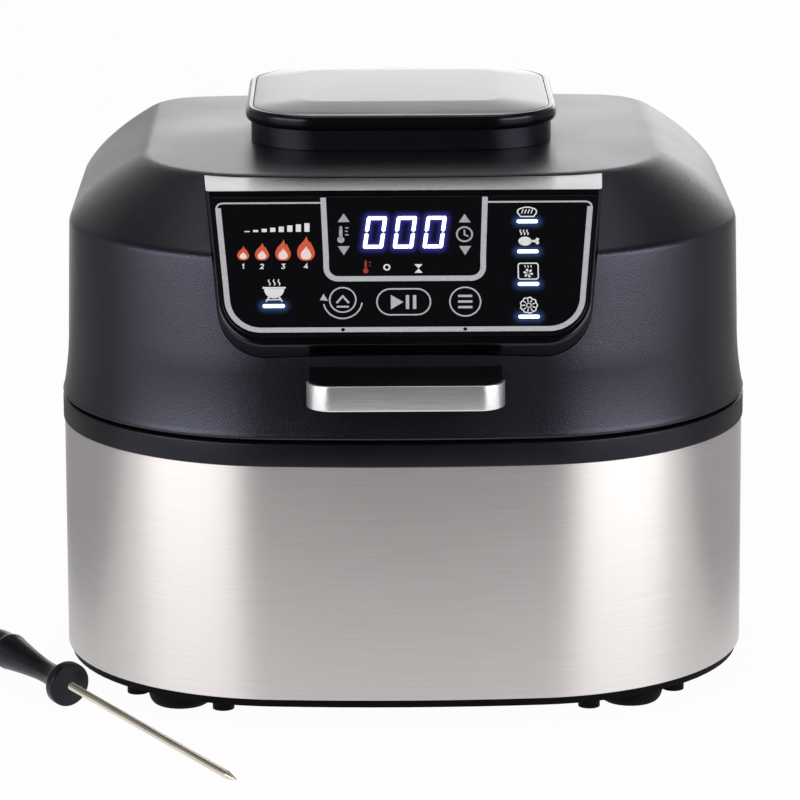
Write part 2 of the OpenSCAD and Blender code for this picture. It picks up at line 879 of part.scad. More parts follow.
module splash_guard() {
  guard_in = dome_in + sheet_t + 1.2;
  cols = floor((half_w - guard_in - 14) / 18);
  rows = floor((half_d - guard_in - 14) / 16);
  color("#a9aaab")
    slab(guard_z, 1)
      difference() {
        polygon(plan(guard_in, plain));
        intersection() {
          polygon(plan(guard_in + 10, plain));
          for (i = [-cols:cols]) for (j = [-rows:rows])
            translate([i * 18 - 6, j * 16 - 2.5])
              square([12, 5]);
        }
      }
}

// Heater: one tube in two turns joined by a bend, with both ends turned up through the dome
tail_r = 12;
bush_r = 6;
turn_a = 60;
turn_sweep = 330;
tail_a = turn_a + turn_sweep;
module tube_turn(r, sweep) {
  rotate_extrude(angle = sweep, $fn = 96)
    translate([r, 0])
      circle(d = tube_d, $fn = 32);
}
module at_tails() {
  translate([0, fan_y, 0])
    rotate([0, 0, tail_a])
      for (r = [turn_out, turn_in])
        translate([r, tail_r, 0])
          children();
}
module heating_element() {
  bend_r = (turn_out - turn_in) / 2;
  color("#57534f")
    union() {
      translate([0, fan_y, heater_z])
        rotate([0, 0, turn_a]) {
          tube_turn(turn_out, turn_sweep);
          tube_turn(turn_in, turn_sweep);
          translate([turn_in + bend_r, 0, 0])
            rotate([0, 0, 180])
              tube_turn(bend_r, 180);
        }
      at_tails()
        translate([0, -tail_r, heater_z + tail_r])
          rotate([0, 90, 0])
            tube_turn(tail_r, 90);
      at_tails()
        translate([0, 2.5 - tail_r, heater_z])
          rotate([90, 0, 0])
            cylinder(d = tube_d + 1.4, h = 5, $fn = 32);
      at_tails()
        translate([0, 0, heater_z + tail_r])
          cylinder(d = tube_d, h = dome_top + 9 - heater_z - tail_r, $fn = 32);
    }
}
// Ceramic bushes round the heater's ends, resting on the dome
module heater_bushes() {
  color("#e6e1d6")
    at_tails()
      difference() {
        union() {
          translate([0, 0, dome_top - sheet_t - 2])
            cylinder(r = bush_r, h = sheet_t + 7, $fn = 48);
          translate([0, 0, dome_top])
            cylinder(r = bush_r + 2, h = 2, $fn = 48);
        }
        translate([0, 0, dome_top - 6])
          cylinder(r = tube_d / 2 + seat_gap, h = 16, $fn = 48);
      }
}
// Hangers that hold both turns under the dome's ceiling
hanger_angles = [115, 205, 295, 355];
hanger_w = 10;
module heater_hangers() {
  low = heater_z - tube_d / 2 - 1.2;
  mid = (turn_out + turn_in) / 2;
  reach = turn_out - turn_in + tube_d + 2;
  color("#9b9c9e")
    translate([0, fan_y, 0])
      for (a = hanger_angles)
        rotate([0, 0, a])
          union() {
            translate([mid - 1, -hanger_w / 2, low])
              cube([2, hanger_w, dome_z + dome_h - low]);
            translate([mid - reach / 2, -hanger_w / 2, low])
              cube([reach, hanger_w, 1]);
          }
}
// Motor on a bracket above the dome
bracket_half = 42;
bracket_post_r = 4;
plate_gap = 2;
module motor_bracket() {
  color("#a2a4a6")
    difference() {
      union() {
        translate([-bracket_half, fan_y - bracket_half, motor_z - plate_gap])
          cube([2 * bracket_half, 2 * bracket_half, plate_gap]);
        for (p = post_places)
          translate([p.x, p.y, dome_top])
            cylinder(r = bracket_post_r, h = motor_z - dome_top - over, $fn = 32);
      }
      translate([0, fan_y, motor_z - plate_gap - over])
        cylinder(r = shaft_r + 3, h = plate_gap + 2 * over, $fn = 48);
    }
}
module fan_motor() {
  bore = shaft_r + run_gap;
  cap = 12;
  color("#6d6f72")
    translate([0, fan_y, motor_z])
      rotate_extrude($fn = 96)
        polygon([
          [bore, 0], [motor_r - 3, 0], [motor_r, 3], [motor_r, motor_h - 6], [motor_r - 4, motor_h - 2],
          [cap, motor_h - 2], [cap, motor_h], [bore, motor_h]
        ]);
}
module motor_shaft() {
  low = fan_z - 6;
  color("#c4c6c8")
    translate([0, fan_y, low])
      cylinder(r = shaft_r, h = cooler_z + 12 - low, $fn = 64);
}
// A ring of backward-curved blades between two radii
module blade_ring(r0, r1, count, h, t) {
  curve = r1 * 0.9;
  for (i = [0:count - 1])
    rotate([0, 0, i * 360 / count])
      linear_extrude(h)
        intersection() {
          difference() {
            translate([0, curve])
              circle(r = curve + t / 2, $fn = 96);
            translate([0, curve])
              circle(r = curve - t / 2, $fn = 96);
          }
          difference() {
            circle(r = r1 - 1, $fn = 96);
            circle(r = r0, $fn = 96);
          }
          translate([0, -1])
            square([r1, r1]);
        }
}
fan_h = 16;
hub_r = 11;
blade_t = 1.2;
module convection_fan() {
  color("#b4b6b8")
    translate([0, fan_y, fan_z])
      difference() {
        union() {
          cylinder(r = hub_r, h = fan_h, $fn = 64);
          translate([0, 0, fan_h - blade_t])
            cylinder(r = fan_r, h = blade_t, $fn = 96);
          translate([0, 0, 2])
            blade_ring(hub_r + 8, fan_r, fan_blades, fan_h - 2 - blade_t / 2, blade_t);
        }
        translate([0, 0, -over])
          cylinder(r = shaft_r + 0.02, h = fan_h + 2 * over, $fn = 64);
      }
}
module fan_nut() {
  color("#d0d2d4")
    translate([0, fan_y, fan_z - 5])
      difference() {
        cylinder(r = 6.4, h = 5, $fn = 6);
        translate([0, 0, -over])
          cylinder(r = shaft_r + 0.02, h = 5 + 2 * over, $fn = 48);
      }
}
cooler_hub_r = 8;
cooler_h = 10;
module cooling_fan() {
  color("#303134")
    translate([0, fan_y, cooler_z])
      difference() {
        union() {
          cylinder(r = cooler_hub_r, h = cooler_h, $fn = 48);
          cylinder(r = cooler_r, h = blade_t, $fn = 96);
          translate([0, 0, blade_t - 0.4])
            blade_ring(cooler_hub_r + 5, cooler_r, fan_blades - 1, cooler_h - 1.6, blade_t);
        }
        translate([0, 0, -over])
          cylinder(r = shaft_r + 0.02, h = cooler_h + 2 * over, $fn = 48);
      }
}
// Thermal cut-out on the dome, and the mains board on four posts beside the motor
module thermal_cutout() {
  color("#3b3b3e")
    translate([-70, fan_y + 30, dome_top])
      union() {
        cylinder(r = 8, h = 5, $fn = 48);
        translate([-13, -4, 0])
          cube([26, 8, 1]);
      }
}
board_w = 116;
board_d = 56;
board_y = fan_y + bracket_half + 10;
board_lift = 9;
board_t = 1.6;
board_edge = 6;
coil = [30, 24, 18];
relay = [16, 12, 15];
can_r = 8;
can_h = 20;
module power_board() {
  z = dome_top + board_lift;
  on = z + board_t - 0.2;
  color("#2f6b3f")
    translate([-board_w / 2, board_y, 0])
      union() {
        translate([0, 0, z])
          cube([board_w, board_d, board_t]);
        for (x = [board_edge, board_w - board_edge]) for (y = [board_edge, board_d - board_edge])
          translate([x, y, dome_top])
            cylinder(r = board_edge / 2, h = board_lift + 0.5, $fn = 32);
        translate([2 * board_edge, 2 * board_edge, on])
          cube(coil);
        for (k = [0, 1])
          translate([4 * board_edge + coil.x, 2 * board_edge + k * (relay.y + board_edge), on])
            cube(relay);
        translate([board_w - 4 * board_edge - can_r, board_d / 2, on])
          cylinder(r = can_r, h = can_h, $fn = 48);
      }
}

// Control panel: bezel housing, glass, display board and display
face_wall = 2.5;
board_face = glass_t + face_wall + 8;
led_s = 25;
led_gap = 1;
glass_r = panel_r - 5;
module panel_bezel() {
  color("#151518")
    difference() {
      union() {
        difference() {
          bezel_block(0);
          on_panel()
            translate([0, 0, -3 * bezel_depth])
              linear_extrude(3 * bezel_depth - glass_t - face_wall)
                polygon(panel_points(4, -4, panel_len - 4, panel_r - 4));
        }
        on_panel()
          for (sx = [-1, 1]) for (y = [-14, -panel_len + 26])
            translate([sx * 62, y, -board_face])
              cylinder(r = 3.5, h = board_face - glass_t - over, $fn = 32);
      }
      on_panel()
        translate([0, 0, -glass_t])
          linear_extrude(glass_t + over)
            polygon(panel_points(
              glass_side - seat_gap, seat_gap - glass_top, panel_len - glass_bottom + seat_gap, glass_r + seat_gap
            ));
      on_panel()
        translate([-led_w / 2 - led_gap, -led_s - led_h / 2 - led_gap, -board_face])
          cube([led_w + 2 * led_gap, led_h + 2 * led_gap, board_face]);
    }
}
module control_glass() {
  color("#0b0b0d")
    on_panel()
      translate([0, 0, -glass_t])
        linear_extrude(glass_t + seat_gap)
          polygon(panel_points(glass_side, -glass_top, panel_len - glass_bottom, glass_r));
}
module display_board() {
  color("#2f6b3f")
    on_panel()
      translate([0, 0, -board_face - board_t])
        linear_extrude(board_t)
          polygon(panel_points(8, -8, panel_len - 10, panel_r - 8));
}
module led_display() {
  color("#e8eefc")
    on_panel()
      translate([-led_w / 2, -led_s - led_h / 2, -board_face])
        cube([led_w, led_h, board_face - glass_t - seat_gap]);
}

// Handle: a hooded grip, open underneath for the fingers, with a steel band round its front
handle_z = lid_z + handle_low;
handle_root = half_d - 14;
lip_t = 9;
module handle_plan(g) {
  w = handle_w / 2 + g;
  r = handle_r + g;
  right = arc([w - r, r - handle_front - g], r, 270, 360, 10, 0);
  polygon(concat(right, [[w, -handle_root], [-w, -handle_root]], [for (p = reversed(right)) [-p.x, p.y]]));
}
module handle_grip() {
  hood = handle_z + handle_face_h;
  color("#17171a")
    difference() {
      intersection() {
        rotate([90, 0, 90])
          translate([0, 0, -handle_w])
            linear_extrude(2 * handle_w)
              polygon([
                [-handle_front, handle_z], [-handle_front, hood], [-handle_root, hood + handle_rise],
                [-handle_root, handle_z]
              ]);
        slab(handle_z - over, handle_face_h + handle_rise + 2 * over)
          handle_plan(0);
      }
      translate([handle_wall - handle_w / 2, lip_t - handle_front, handle_z - over])
        cube([handle_w - 2 * handle_wall, handle_front, handle_face_h - handle_wall + over]);
      lid_solid(seat_gap);
    }
}
module handle_trim() {
  color("#d2d2d0")
    intersection() {
      slab(handle_z, handle_face_h)
        difference() {
          handle_plan(trim_t + seat_gap);
          handle_plan(seat_gap);
        }
      translate([-handle_w, -handle_front - 5, handle_z - over])
        cube([2 * handle_w, handle_r + 8, handle_face_h + 2 * over]);
    }
}

// Cap over the fan's air outlet: vented neck, black frame and bevelled steel plate
cap_y = cap_d / 2 - cap_front;
cap_bow = 4000;
cap_steps = [2, 12];
function cap_plan(t) = [
  for (p = outline(cap_w / 2 - t, cap_d / 2 - t, cap_d / 2 - t, cap_r - t, cap_bow - t, cap_steps[0], cap_steps[1]))
    p + [0, cap_y]
];
function bevel_plan(t, r) = [
  for (p = outline(cap_w / 2 - t, cap_d / 2 - t, cap_d / 2 - t, r, cap_bow - t, cap_steps[0], cap_steps[1]))
    p + [0, cap_y]
];
neck_wall = 2.5;
vent_h = 5;
vent_pitch = 8;
module cap_neck() {
  side_vents = floor((cap_d / 2 - cap_r - 8) / vent_pitch);
  back_vents = floor((cap_w / 2 - cap_r - 8) / vent_pitch);
  vent_z = top_z + (neck_h - vent_h) / 2;
  color("#161618")
    difference() {
      slab(top_z, neck_h)
        difference() {
          polygon(cap_plan(neck_in));
          polygon(cap_plan(neck_in + neck_wall));
        }
      for (i = [-side_vents:side_vents])
        translate([-cap_w, cap_y + i * vent_pitch - 2, vent_z])
          cube([2 * cap_w, 4, vent_h]);
      for (i = [-back_vents:back_vents])
        translate([i * vent_pitch - 2, cap_y, vent_z])
          cube([4, cap_d, vent_h]);
    }
}
plate_seat = 2.2;
module cap_frame() {
  web_t = 2.6;
  color("#131316")
    difference() {
      loft([
        [neck_top, cap_plan(2.2)], [neck_top + 1.2, cap_plan(0.7)], [neck_top + 3, cap_plan(0)],
        [frame_top - 2.4, cap_plan(0)], [frame_top - 0.7, cap_plan(0.7)], [frame_top, cap_plan(2)]
      ]);
      slab(frame_top - plate_seat, plate_seat + over)
        polygon(cap_plan(frame_edge));
      slab(neck_top - over, frame_h - plate_seat - web_t + over)
        polygon(cap_plan(neck_in + neck_wall + 3));
    }
}
module cap_plate() {
  edge = frame_edge + fit_gap;
  flat = edge + bevel_w;
  flat_r = 14;
  skin = 1;
  outer = [
    [frame_top - plate_seat, cap_plan(edge)],
    [frame_top - 0.3, cap_plan(edge)],
    [frame_top + 0.3, cap_plan(edge + 0.7)],
    [frame_top + bevel_h, bevel_plan(flat, flat_r)]
  ];
  inner = [
    [frame_top - plate_seat, cap_plan(edge + skin)],
    [frame_top - 0.3, cap_plan(edge + skin + 0.7)],
    [frame_top + bevel_h - skin, bevel_plan(flat, flat_r)]
  ];
  color("#cfcfcd")
    loft(concat(reversed(inner), outer));
}

// Meat probe, lying on the table on its flange and its point, with its spike to the front
probe_at = [5 - half_w, 38 - half_d];
probe_turn = -54;
flange_r = flange_d / 2;
spike_r = spike_d / 2;
probe_lean = atan((flange_r - spike_r) / (spike_len - point_len));
module on_probe() {
  translate([probe_at.x, probe_at.y, flange_r * cos(probe_lean)])
    rotate([0, 0, probe_turn])
      rotate([0, 90 + probe_lean, 0])
        children();
}
collar_t = 6;
waist_r = 7;
knob_r = 13.4;
butt_r = 10;
lead_r = 1.6;
spike_root = 12;
module probe_spike() {
  color("#c9c6ba")
    on_probe()
      rotate_extrude($fn = 64)
        polygon([
          [0, -spike_root], [spike_r, -spike_root], [spike_r, spike_len - point_len], [0.4, spike_len - 0.3], [0, spike_len]
        ]);
}
module probe_handle() {
  color("#17171a")
    on_probe()
      difference() {
        rotate_extrude($fn = 72)
          polygon([
            [0, 1], [waist_r - 1, 1], [waist_r + 2, 0], [flange_r - 1, 0], [flange_r, -1],
            [flange_r, 1.5 - collar_t], [flange_r - 1.5, -collar_t], [waist_r + 1.2, -collar_t - 4],
            [waist_r, -grip_len * 0.2], [waist_r, -grip_len * 0.3], [waist_r + 1, -grip_len * 0.41],
            [knob_r * 0.76, -grip_len * 0.55], [knob_r * 0.94, -grip_len * 0.61], [knob_r, -grip_len * 0.645],
            [knob_r, -grip_len * 0.695], [knob_r * 0.94, -grip_len * 0.73], [butt_r + 0.8, -grip_len * 0.78],
            [butt_r, -grip_len * 0.89], [butt_r * 0.8, -grip_len * 0.963], [butt_r * 0.5, -grip_len],
            [0, -grip_len]
          ]);
        translate([0, 0, -spike_root])
          cylinder(r = spike_r + 0.02, h = spike_root + 8, $fn = 64);
        translate([0, 0, -grip_len - over])
          cylinder(r = lead_r, h = spike_root + over, $fn = 48);
      }
}

for (i = [0:3]) foot(i);
base_pan();
base_screws();
steel_band();
back_panel();
rim_ring();
inner_well();
well_spacers();
cord_gland();
terminal_block();
probe_jack();
hinge_bracket(-1);  // hinge_bracket_left
hinge_bracket(1);  // hinge_bracket_right
hinge_pin(-1);  // hinge_pin_left
hinge_pin(1);  // hinge_pin_right
cooking_pot();
grill_plate();
plate_loops();
lid_shell();
lid_liner();
lid_seal();
heat_dome();
splash_guard();
heating_element();
heater_bushes();
heater_hangers();
motor_bracket();
fan_motor();
thermal_cutout();
power_board();
panel_bezel();
control_glass();
display_board();
led_display();
handle_grip();
handle_trim();
cap_neck();
cap_frame();
cap_plate();
lid_hinge(-1);  // lid_hinge_left
lid_hinge(1);  // lid_hinge_right
motor_shaft();
convection_fan();
fan_nut();
cooling_fan();
probe_spike();
probe_handle();
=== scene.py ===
"""Looks of the countertop grill: smooth outer skins, printed panel, materials, studio and camera.

Sizes are in millimetres in the part's own frame and become metres when a mesh is made.
"""
import math

import bmesh
import bpy
from mathutils import Matrix, Vector


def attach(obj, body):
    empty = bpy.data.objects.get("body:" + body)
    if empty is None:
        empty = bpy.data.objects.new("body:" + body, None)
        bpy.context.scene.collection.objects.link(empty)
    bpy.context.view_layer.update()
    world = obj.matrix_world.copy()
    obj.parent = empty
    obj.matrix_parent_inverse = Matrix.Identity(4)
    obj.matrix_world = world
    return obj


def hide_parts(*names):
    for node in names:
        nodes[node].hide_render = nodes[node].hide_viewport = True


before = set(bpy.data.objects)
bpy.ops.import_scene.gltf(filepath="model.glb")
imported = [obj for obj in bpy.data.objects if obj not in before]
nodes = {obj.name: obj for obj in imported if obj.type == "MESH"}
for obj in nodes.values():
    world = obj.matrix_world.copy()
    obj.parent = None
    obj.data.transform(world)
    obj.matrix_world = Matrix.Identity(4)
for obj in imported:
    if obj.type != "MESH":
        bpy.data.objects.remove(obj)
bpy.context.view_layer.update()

MM = 0.001
# Angle between faces, in degrees, over which an edge is shaded crisp
SHARP = 32

# Body and lid
HALF_W, HALF_D = 191.0, 185.0
CORNER_R, BOW_R = 127.0, 900.0
PAN_Z, BAND_Z, BAND_TOP, RIM_TOP = 10.5, 15.0, 146.5, 160.0
RIM_PROUD = 1.5
LID_Z, CREASE_Z, TOP_Z = 161.0, 260.0, 291.5
WALL = 2.8

# Control panel and its housing
PANEL_Y, PANEL_Z, PANEL_TILT = -145.0, 290.5, math.radians(33)
PANEL_LEN, PANEL_W, PANEL_R = 89.0, 214.0, 27.0
PANEL_TAPER = math.radians(5.6)
LEDGE = 46.0
GLASS_T = 2.0

# Cap and handle
CAP_W, CAP_D, CAP_R, CAP_FRONT = 178.0, 172.0, 42.0, 35.0
CAP_Z, CAP_BOW = 303.0, 4000.0
HANDLE_W, HANDLE_FRONT, HANDLE_R = 103.5, 213.0, 13.0
HANDLE_Z, HANDLE_FACE, HANDLE_RISE, HANDLE_WALL = 184.4, 13.7, 4.2, 6.0
HANDLE_BACK, HANDLE_TIP, TRIM_BACK = -171.0, -214.0, -199.5

# Probe
FLANGE_R, SPIKE_R, SPIKE_LEN, POINT_LEN = 12.5, 2.2, 163.0, 9.0
PROBE_X, PROBE_Y, PROBE_TURN = -186.0, -147.0, math.radians(-54)


# Outlines

def arc(cx, cy, r, a0, a1, n, first=0, last=None):
    """Points of an arc in degrees, from step first to step last of n."""
    last = n if last is None else last
    steps = [math.radians(a0 + (a1 - a0) * i / n) for i in range(first, last + 1)]
    return [(cx + r * math.cos(a), cy + r * math.sin(a)) for a in steps]


def rect(x0, y0, x1, y1):
    """Corners of a rectangle."""
    return [(x0, y0), (x1, y0), (x1, y1), (x0, y1)]


def from_middle(points):
    """A closed outline that starts half way round."""
    half = len(points) // 2
    return points[half:] + points[:half]


def outline(a, f, b, r, q, ends=24, corners=44, rb=None):
    """Rounded plan: half width a, front f, back b, corner radius r or rb at the back, ends bowed on q."""
    rb = r if rb is None else rb
    x, xb = a - r, a - rb
    t = math.degrees(math.asin(x / (q - r)))
    tb = math.degrees(math.asin(xb / (q - rb)))
    yf = q - f - math.sqrt((q - r) ** 2 - x ** 2)
    yb = b - q + math.sqrt((q - rb) ** 2 - xb ** 2)
    return (
        arc(0, q - f, q, 270 - t, 270 + t, ends)
        + arc(x, yf, r, 270 + t, 360, corners, 1)
        + arc(xb, yb, rb, 0, 90 - tb, corners)
        + arc(0, b - q, q, 90 - tb, 90 + tb, ends, 1)
        + arc(-xb, yb, rb, 90 + tb, 180, corners, 1)
        + arc(-x, yf, r, 180, 270 - t, corners, 0, corners - 1)
    )


def plan(t):
    """The body's plan, set in by t."""
    return outline(HALF_W - t, HALF_D - t, HALF_D - t, CORNER_R - t, BOW_R - t)


def cap_plan(t, r=None):
    """The cap's plan, set in by t, with a corner radius of its own where one is given."""
    r = CAP_R - t if r is None else r
    half_d = CAP_D / 2 - t
    points = outline(CAP_W / 2 - t, half_d, half_d, r, CAP_BOW - t, 8, 20)
    return [(x, y + CAP_D / 2 - CAP_FRONT) for x, y in points]


def filleted(corners, steps=5):
    """A closed profile from (u, v, radius) corners, each rounded by an arc of its radius."""
    out = []
    n = len(corners)
    for i, (u, v, r) in enumerate(corners):
        p = Vector((u, v))
        a = (Vector(corners[i - 1][:2]) - p).normalized()
        b = (Vector(corners[(i + 1) % n][:2]) - p).normalized()
        half = a.angle(b) / 2
        if r == 0 or half > 1.55:
            out.append((u, v))
            continue
        reach = r / math.tan(half)
        c = p + (a + b).normalized() * (r / math.sin(half))
        s, e = p + a * reach - c, p + b * reach - c
        turn = s.angle_signed(e)
        for k in range(steps + 1):
            w = -turn * k / steps
            cw, sw = math.cos(w), math.sin(w)
            out.append((c.x + s.x * cw - s.y * sw, c.y + s.x * sw + s.y * cw))
    return out


# Meshes

def mark_sharp(mesh, degrees):
    """Smooth shading, with edges over the given angle left crisp."""
    bm = bmesh.new()
    bm.from_mesh(mesh)
    bmesh.ops.recalc_face_normals(bm, faces=bm.faces)
    for face in bm.faces:
        face.smooth = True
    limit = math.radians(degrees)
    for edge in bm.edges:
        edge.smooth = len(edge.link_faces) == 2 and edge.calc_face_angle(0) < limit
    bm.to_mesh(mesh)
    bm.free()


def make(name, verts, faces, sharp=SHARP):
    """A mesh object from points in millimetres."""
    mesh = bpy.data.meshes.new(name)
    mesh.from_pydata([(x * MM, y * MM, z * MM) for x, y, z in verts], [], faces)
    mark_sharp(mesh, sharp)
    obj = bpy.data.objects.new(name, mesh)
    bpy.context.scene.collection.objects.link(obj)
    return obj


def dress(obj, body, material, stands_for=()):
    """Gives a piece its material, the body it rides on and the nodes that it stands for."""
    obj.data.materials.clear()
    obj.data.materials.append(material)
    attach(obj, body)
    if stands_for:
        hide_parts(*stands_for)
    return obj


def strip(rows, closed):
    """Quads between successive closed rows of equal length, and from the last to the first if closed."""
    n, m = len(rows[0]), len(rows)
    verts = [p for row in rows for p in row]
    faces = []
    for k in range(m if closed else m - 1):
        k2 = (k + 1) % m
        for i in range(n):
            j = (i + 1) % n
            faces.append((k * n + i, k * n + j, k2 * n + j, k2 * n + i))
    return verts, faces


def sweep(name, profile, plan_of):
    """A closed profile of (inset, height) carried round a plan."""
    rows = [[(x, y, z) for x, y in plan_of(t)] for t, z in profile]
    return make(name, *strip(rows, True))


def loft(name, rings, sharp=SHARP):
    """A skin through rings of (height, points), capped at its ends."""
    rows = [[(x, y, z) for x, y in points] for z, points in rings]
    verts, faces = strip(rows, False)
    n = len(rows[0])
    faces.append(tuple(range(n - 1, -1, -1)))
    faces.append(tuple(range(len(verts) - n, len(verts))))
    return make(name, verts, faces, sharp)


def prism(name, points, z0, z1):
    """A straight prism over a plan."""
    return loft(name, [(z0, points), (z1, points)])


def extrude_across(name, profile, half):
    """A profile of (y, z) carried from -half to half along X."""
    verts, faces = strip([[(x, y, z) for y, z in profile] for x in (-half, half)], False)
    n = len(profile)
    faces += [tuple(range(n)), tuple(range(2 * n - 1, n - 1, -1))]
    return make(name, verts, faces)


def lathe(name, profile, steps=72):
    """A profile of (radius, height) turned round Z, closed on the axis."""
    turn = [math.radians(360 * i / steps) for i in range(steps)]
    inner = [p for p in profile if p[0] > 0]
    rows = [[(r * math.cos(a), r * math.sin(a), z) for a in turn] for r, z in inner]
    verts, faces = strip(rows, False)
    for row, z in ((0, profile[0][1]), (len(inner) - 1, profile[-1][1])):
        verts.append((0, 0, z))
        tip = len(verts) - 1
        for i in range(steps):
            faces.append((row * steps + i, row * steps + (i + 1) % steps, tip))
    return make(name, verts, faces)


def combine(obj, other, operation):
    """Boolean of two objects, kept in the first."""
    mod = obj.modifiers.new("cut", "BOOLEAN")
    mod.operation = operation
    mod.object = other
    mod.solver = "EXACT"
    depsgraph = bpy.context.evaluated_depsgraph_get()
    result = bpy.data.meshes.new_from_object(obj.evaluated_get(depsgraph))
    obj.modifiers.clear()
    obj.data = result
    bpy.data.objects.remove(other)
    mark_sharp(result, SHARP)
    return obj


def place(obj, matrix):
    """Moves a mesh's points by a matrix in millimetres."""
    scaled = Matrix.Scale(MM, 4) @ matrix @ Matrix.Scale(1 / MM, 4)
    obj.data.transform(scaled)
    return obj


SOFT_ANGLE = math.radians(40)


def soften(obj, width, segments=3):
    """Rounds a piece's sharp edges."""
    mod = obj.modifiers.new("soften", "BEVEL")
    mod.width = width * MM
    mod.segments = segments
    mod.limit_method = "ANGLE"
    mod.angle_limit = SOFT_ANGLE
    mod.harden_normals = True
    return obj


WELD_REACH = 2e-6


def weld(obj, rounding=0.0):
    """Joins a solid's faces along their shared edges, and shades it smooth up to an angle."""
    mesh = obj.data
    mesh.shade_smooth()
    spots = [tuple(v.co) for v in mesh.vertices]
    sides = {}
    for face in mesh.polygons:
        for a, b in face.edge_keys:
            sides.setdefault(frozenset((spots[a], spots[b])), []).append(face.normal)
    limit = math.cos(math.radians(SHARP))
    for edge in mesh.edges:
        normals = sides[frozenset(spots[i] for i in edge.vertices)]
        edge.use_edge_sharp = len(normals) != 2 or normals[0].dot(normals[1]) < limit
    join = obj.modifiers.new("join", "WELD")
    join.merge_threshold = WELD_REACH
    if rounding:
        soften(obj, rounding).modifiers["soften"].harden_normals = False
    shade = obj.modifiers.new("shade", "WEIGHTED_NORMAL")
    shade.keep_sharp = True
    return obj


# Materials

def new_material(name):
    """A material with its node tree and its shader."""
    material = bpy.data.materials.new(name)
    material.use_nodes = True
    tree = material.node_tree
    return material, tree, tree.nodes["Principled BSDF"]


def add(tree, kind, **inputs):
    """A shader node with its sockets or properties set by name."""
    node = tree.nodes.new(kind)
    for key, value in inputs.items():
        if key in node.inputs:
            node.inputs[key].default_value = value
        else:
            setattr(node, key, value)
    return node


def noise(tree, scale, stretch=(1, 1, 1), detail=3.0):
    """Noise over the object's own coordinates, in metres, stretched along its axes."""
    coords = add(tree, "ShaderNodeTexCoord")
    mapping = add(tree, "ShaderNodeMapping", Scale=stretch)
    texture = add(tree, "ShaderNodeTexNoise", Scale=scale, Detail=detail)
    tree.links.new(coords.outputs["Object"], mapping.inputs["Vector"])
    tree.links.new(mapping.outputs["Vector"], texture.inputs["Vector"])
    return texture


def ramp(tree, source, low, high, into, start=0.3, end=0.7):
    """A two-colour ramp over a noise, fed into a socket."""
    node = add(tree, "ShaderNodeValToRGB")
    first, last = node.color_ramp.elements
    first.position, first.color = start, (*low, 1)
    last.position, last.color = end, (*high, 1)
    tree.links.new(source.outputs["Fac"], node.inputs["Fac"])
    tree.links.new(node.outputs["Color"], into)


def spread(tree, source, low, high, into):
    """A noise stretched to the range low to high, fed into a socket."""
    ends = {"From Min": 0.3, "From Max": 0.7, "To Min": low, "To Max": high}
    node = add(tree, "ShaderNodeMapRange", **ends)
    tree.links.new(source.outputs["Fac"], node.inputs["Value"])
    tree.links.new(node.outputs["Result"], into)


def bump(tree, shader, source, strength, distance):
    """Relief from a noise, as deep as distance in metres."""
    node = add(tree, "ShaderNodeBump", Strength=strength, Distance=distance)
    tree.links.new(source.outputs["Fac"], node.inputs["Height"])
    tree.links.new(node.outputs["Normal"], shader.inputs["Normal"])


COOL_SHEEN = (0.76, 0.77, 1.0, 1)


def moulded(name, dark, light, rough, grain=2600.0, relief=0.00006, specular=0.5):
    """Moulded plastic or rubber: fine pebble grain, slightly uneven colour and sheen."""
    material, tree, shader = new_material(name)
    shader.inputs["Specular IOR Level"].default_value = specular
    shader.inputs["Specular Tint"].default_value = COOL_SHEEN
    broad = noise(tree, 14.0, detail=4.0)
    ramp(tree, broad, dark, light, shader.inputs["Base Color"])
    spread(tree, broad, rough - 0.03, rough + 0.03, shader.inputs["Roughness"])
    bump(tree, shader, noise(tree, grain, detail=2.0), 0.5, relief)
    return material


def brushed(name, dark, light, rough, stretch, anisotropy, axis, relief=0.00002, metal=1.0):
    """Brushed metal: fine scratches round an axis, with highlights drawn out across them."""
    material, tree, shader = new_material(name)
    shader.inputs["Metallic"].default_value = metal
    shader.inputs["Anisotropic"].default_value = anisotropy
    shader.inputs["Anisotropic Rotation"].default_value = 0.25
    lines = noise(tree, 2400.0, stretch, detail=4.0)
    ramp(tree, lines, dark, light, shader.inputs["Base Color"], 0.35, 0.65)
    spread(tree, lines, rough - 0.025, rough + 0.025, shader.inputs["Roughness"])
    along = add(tree, "ShaderNodeTangent", direction_type="RADIAL", axis=axis)
    tree.links.new(along.outputs["Tangent"], shader.inputs["Tangent"])
    bump(tree, shader, lines, 0.35, relief)
    return material


def plain_metal(name, dark, light, rough, relief=0.00003):
    """Plain rolled or turned metal with faint mottling."""
    material, tree, shader = new_material(name)
    shader.inputs["Metallic"].default_value = 1.0
    mottle = noise(tree, 60.0, detail=5.0)
    ramp(tree, mottle, dark, light, shader.inputs["Base Color"])
    spread(tree, mottle, rough - 0.06, rough + 0.06, shader.inputs["Roughness"])
    bump(tree, shader, noise(tree, 1400.0), 0.15, relief)
    return material


def printed(name, low, high):
    """Ink printed behind the glass."""
    material, tree, shader = new_material(name)
    ramp(tree, noise(tree, 700.0), low, high, shader.inputs["Base Color"])
    shader.inputs["Roughness"].default_value = 0.35
    return material


def glowing(name, colour, strength):
    """Lit window: the light fades slightly towards a coarse noise, as behind a diffuser."""
    material, tree, shader = new_material(name)
    shader.inputs["Base Color"].default_value = (*colour, 1)
    shader.inputs["Roughness"].default_value = 0.3
    ramp(tree, noise(tree, 500.0), [c * 0.94 for c in colour], colour, shader.inputs["Emission Color"])
    shader.inputs["Emission Strength"].default_value = strength
    return material


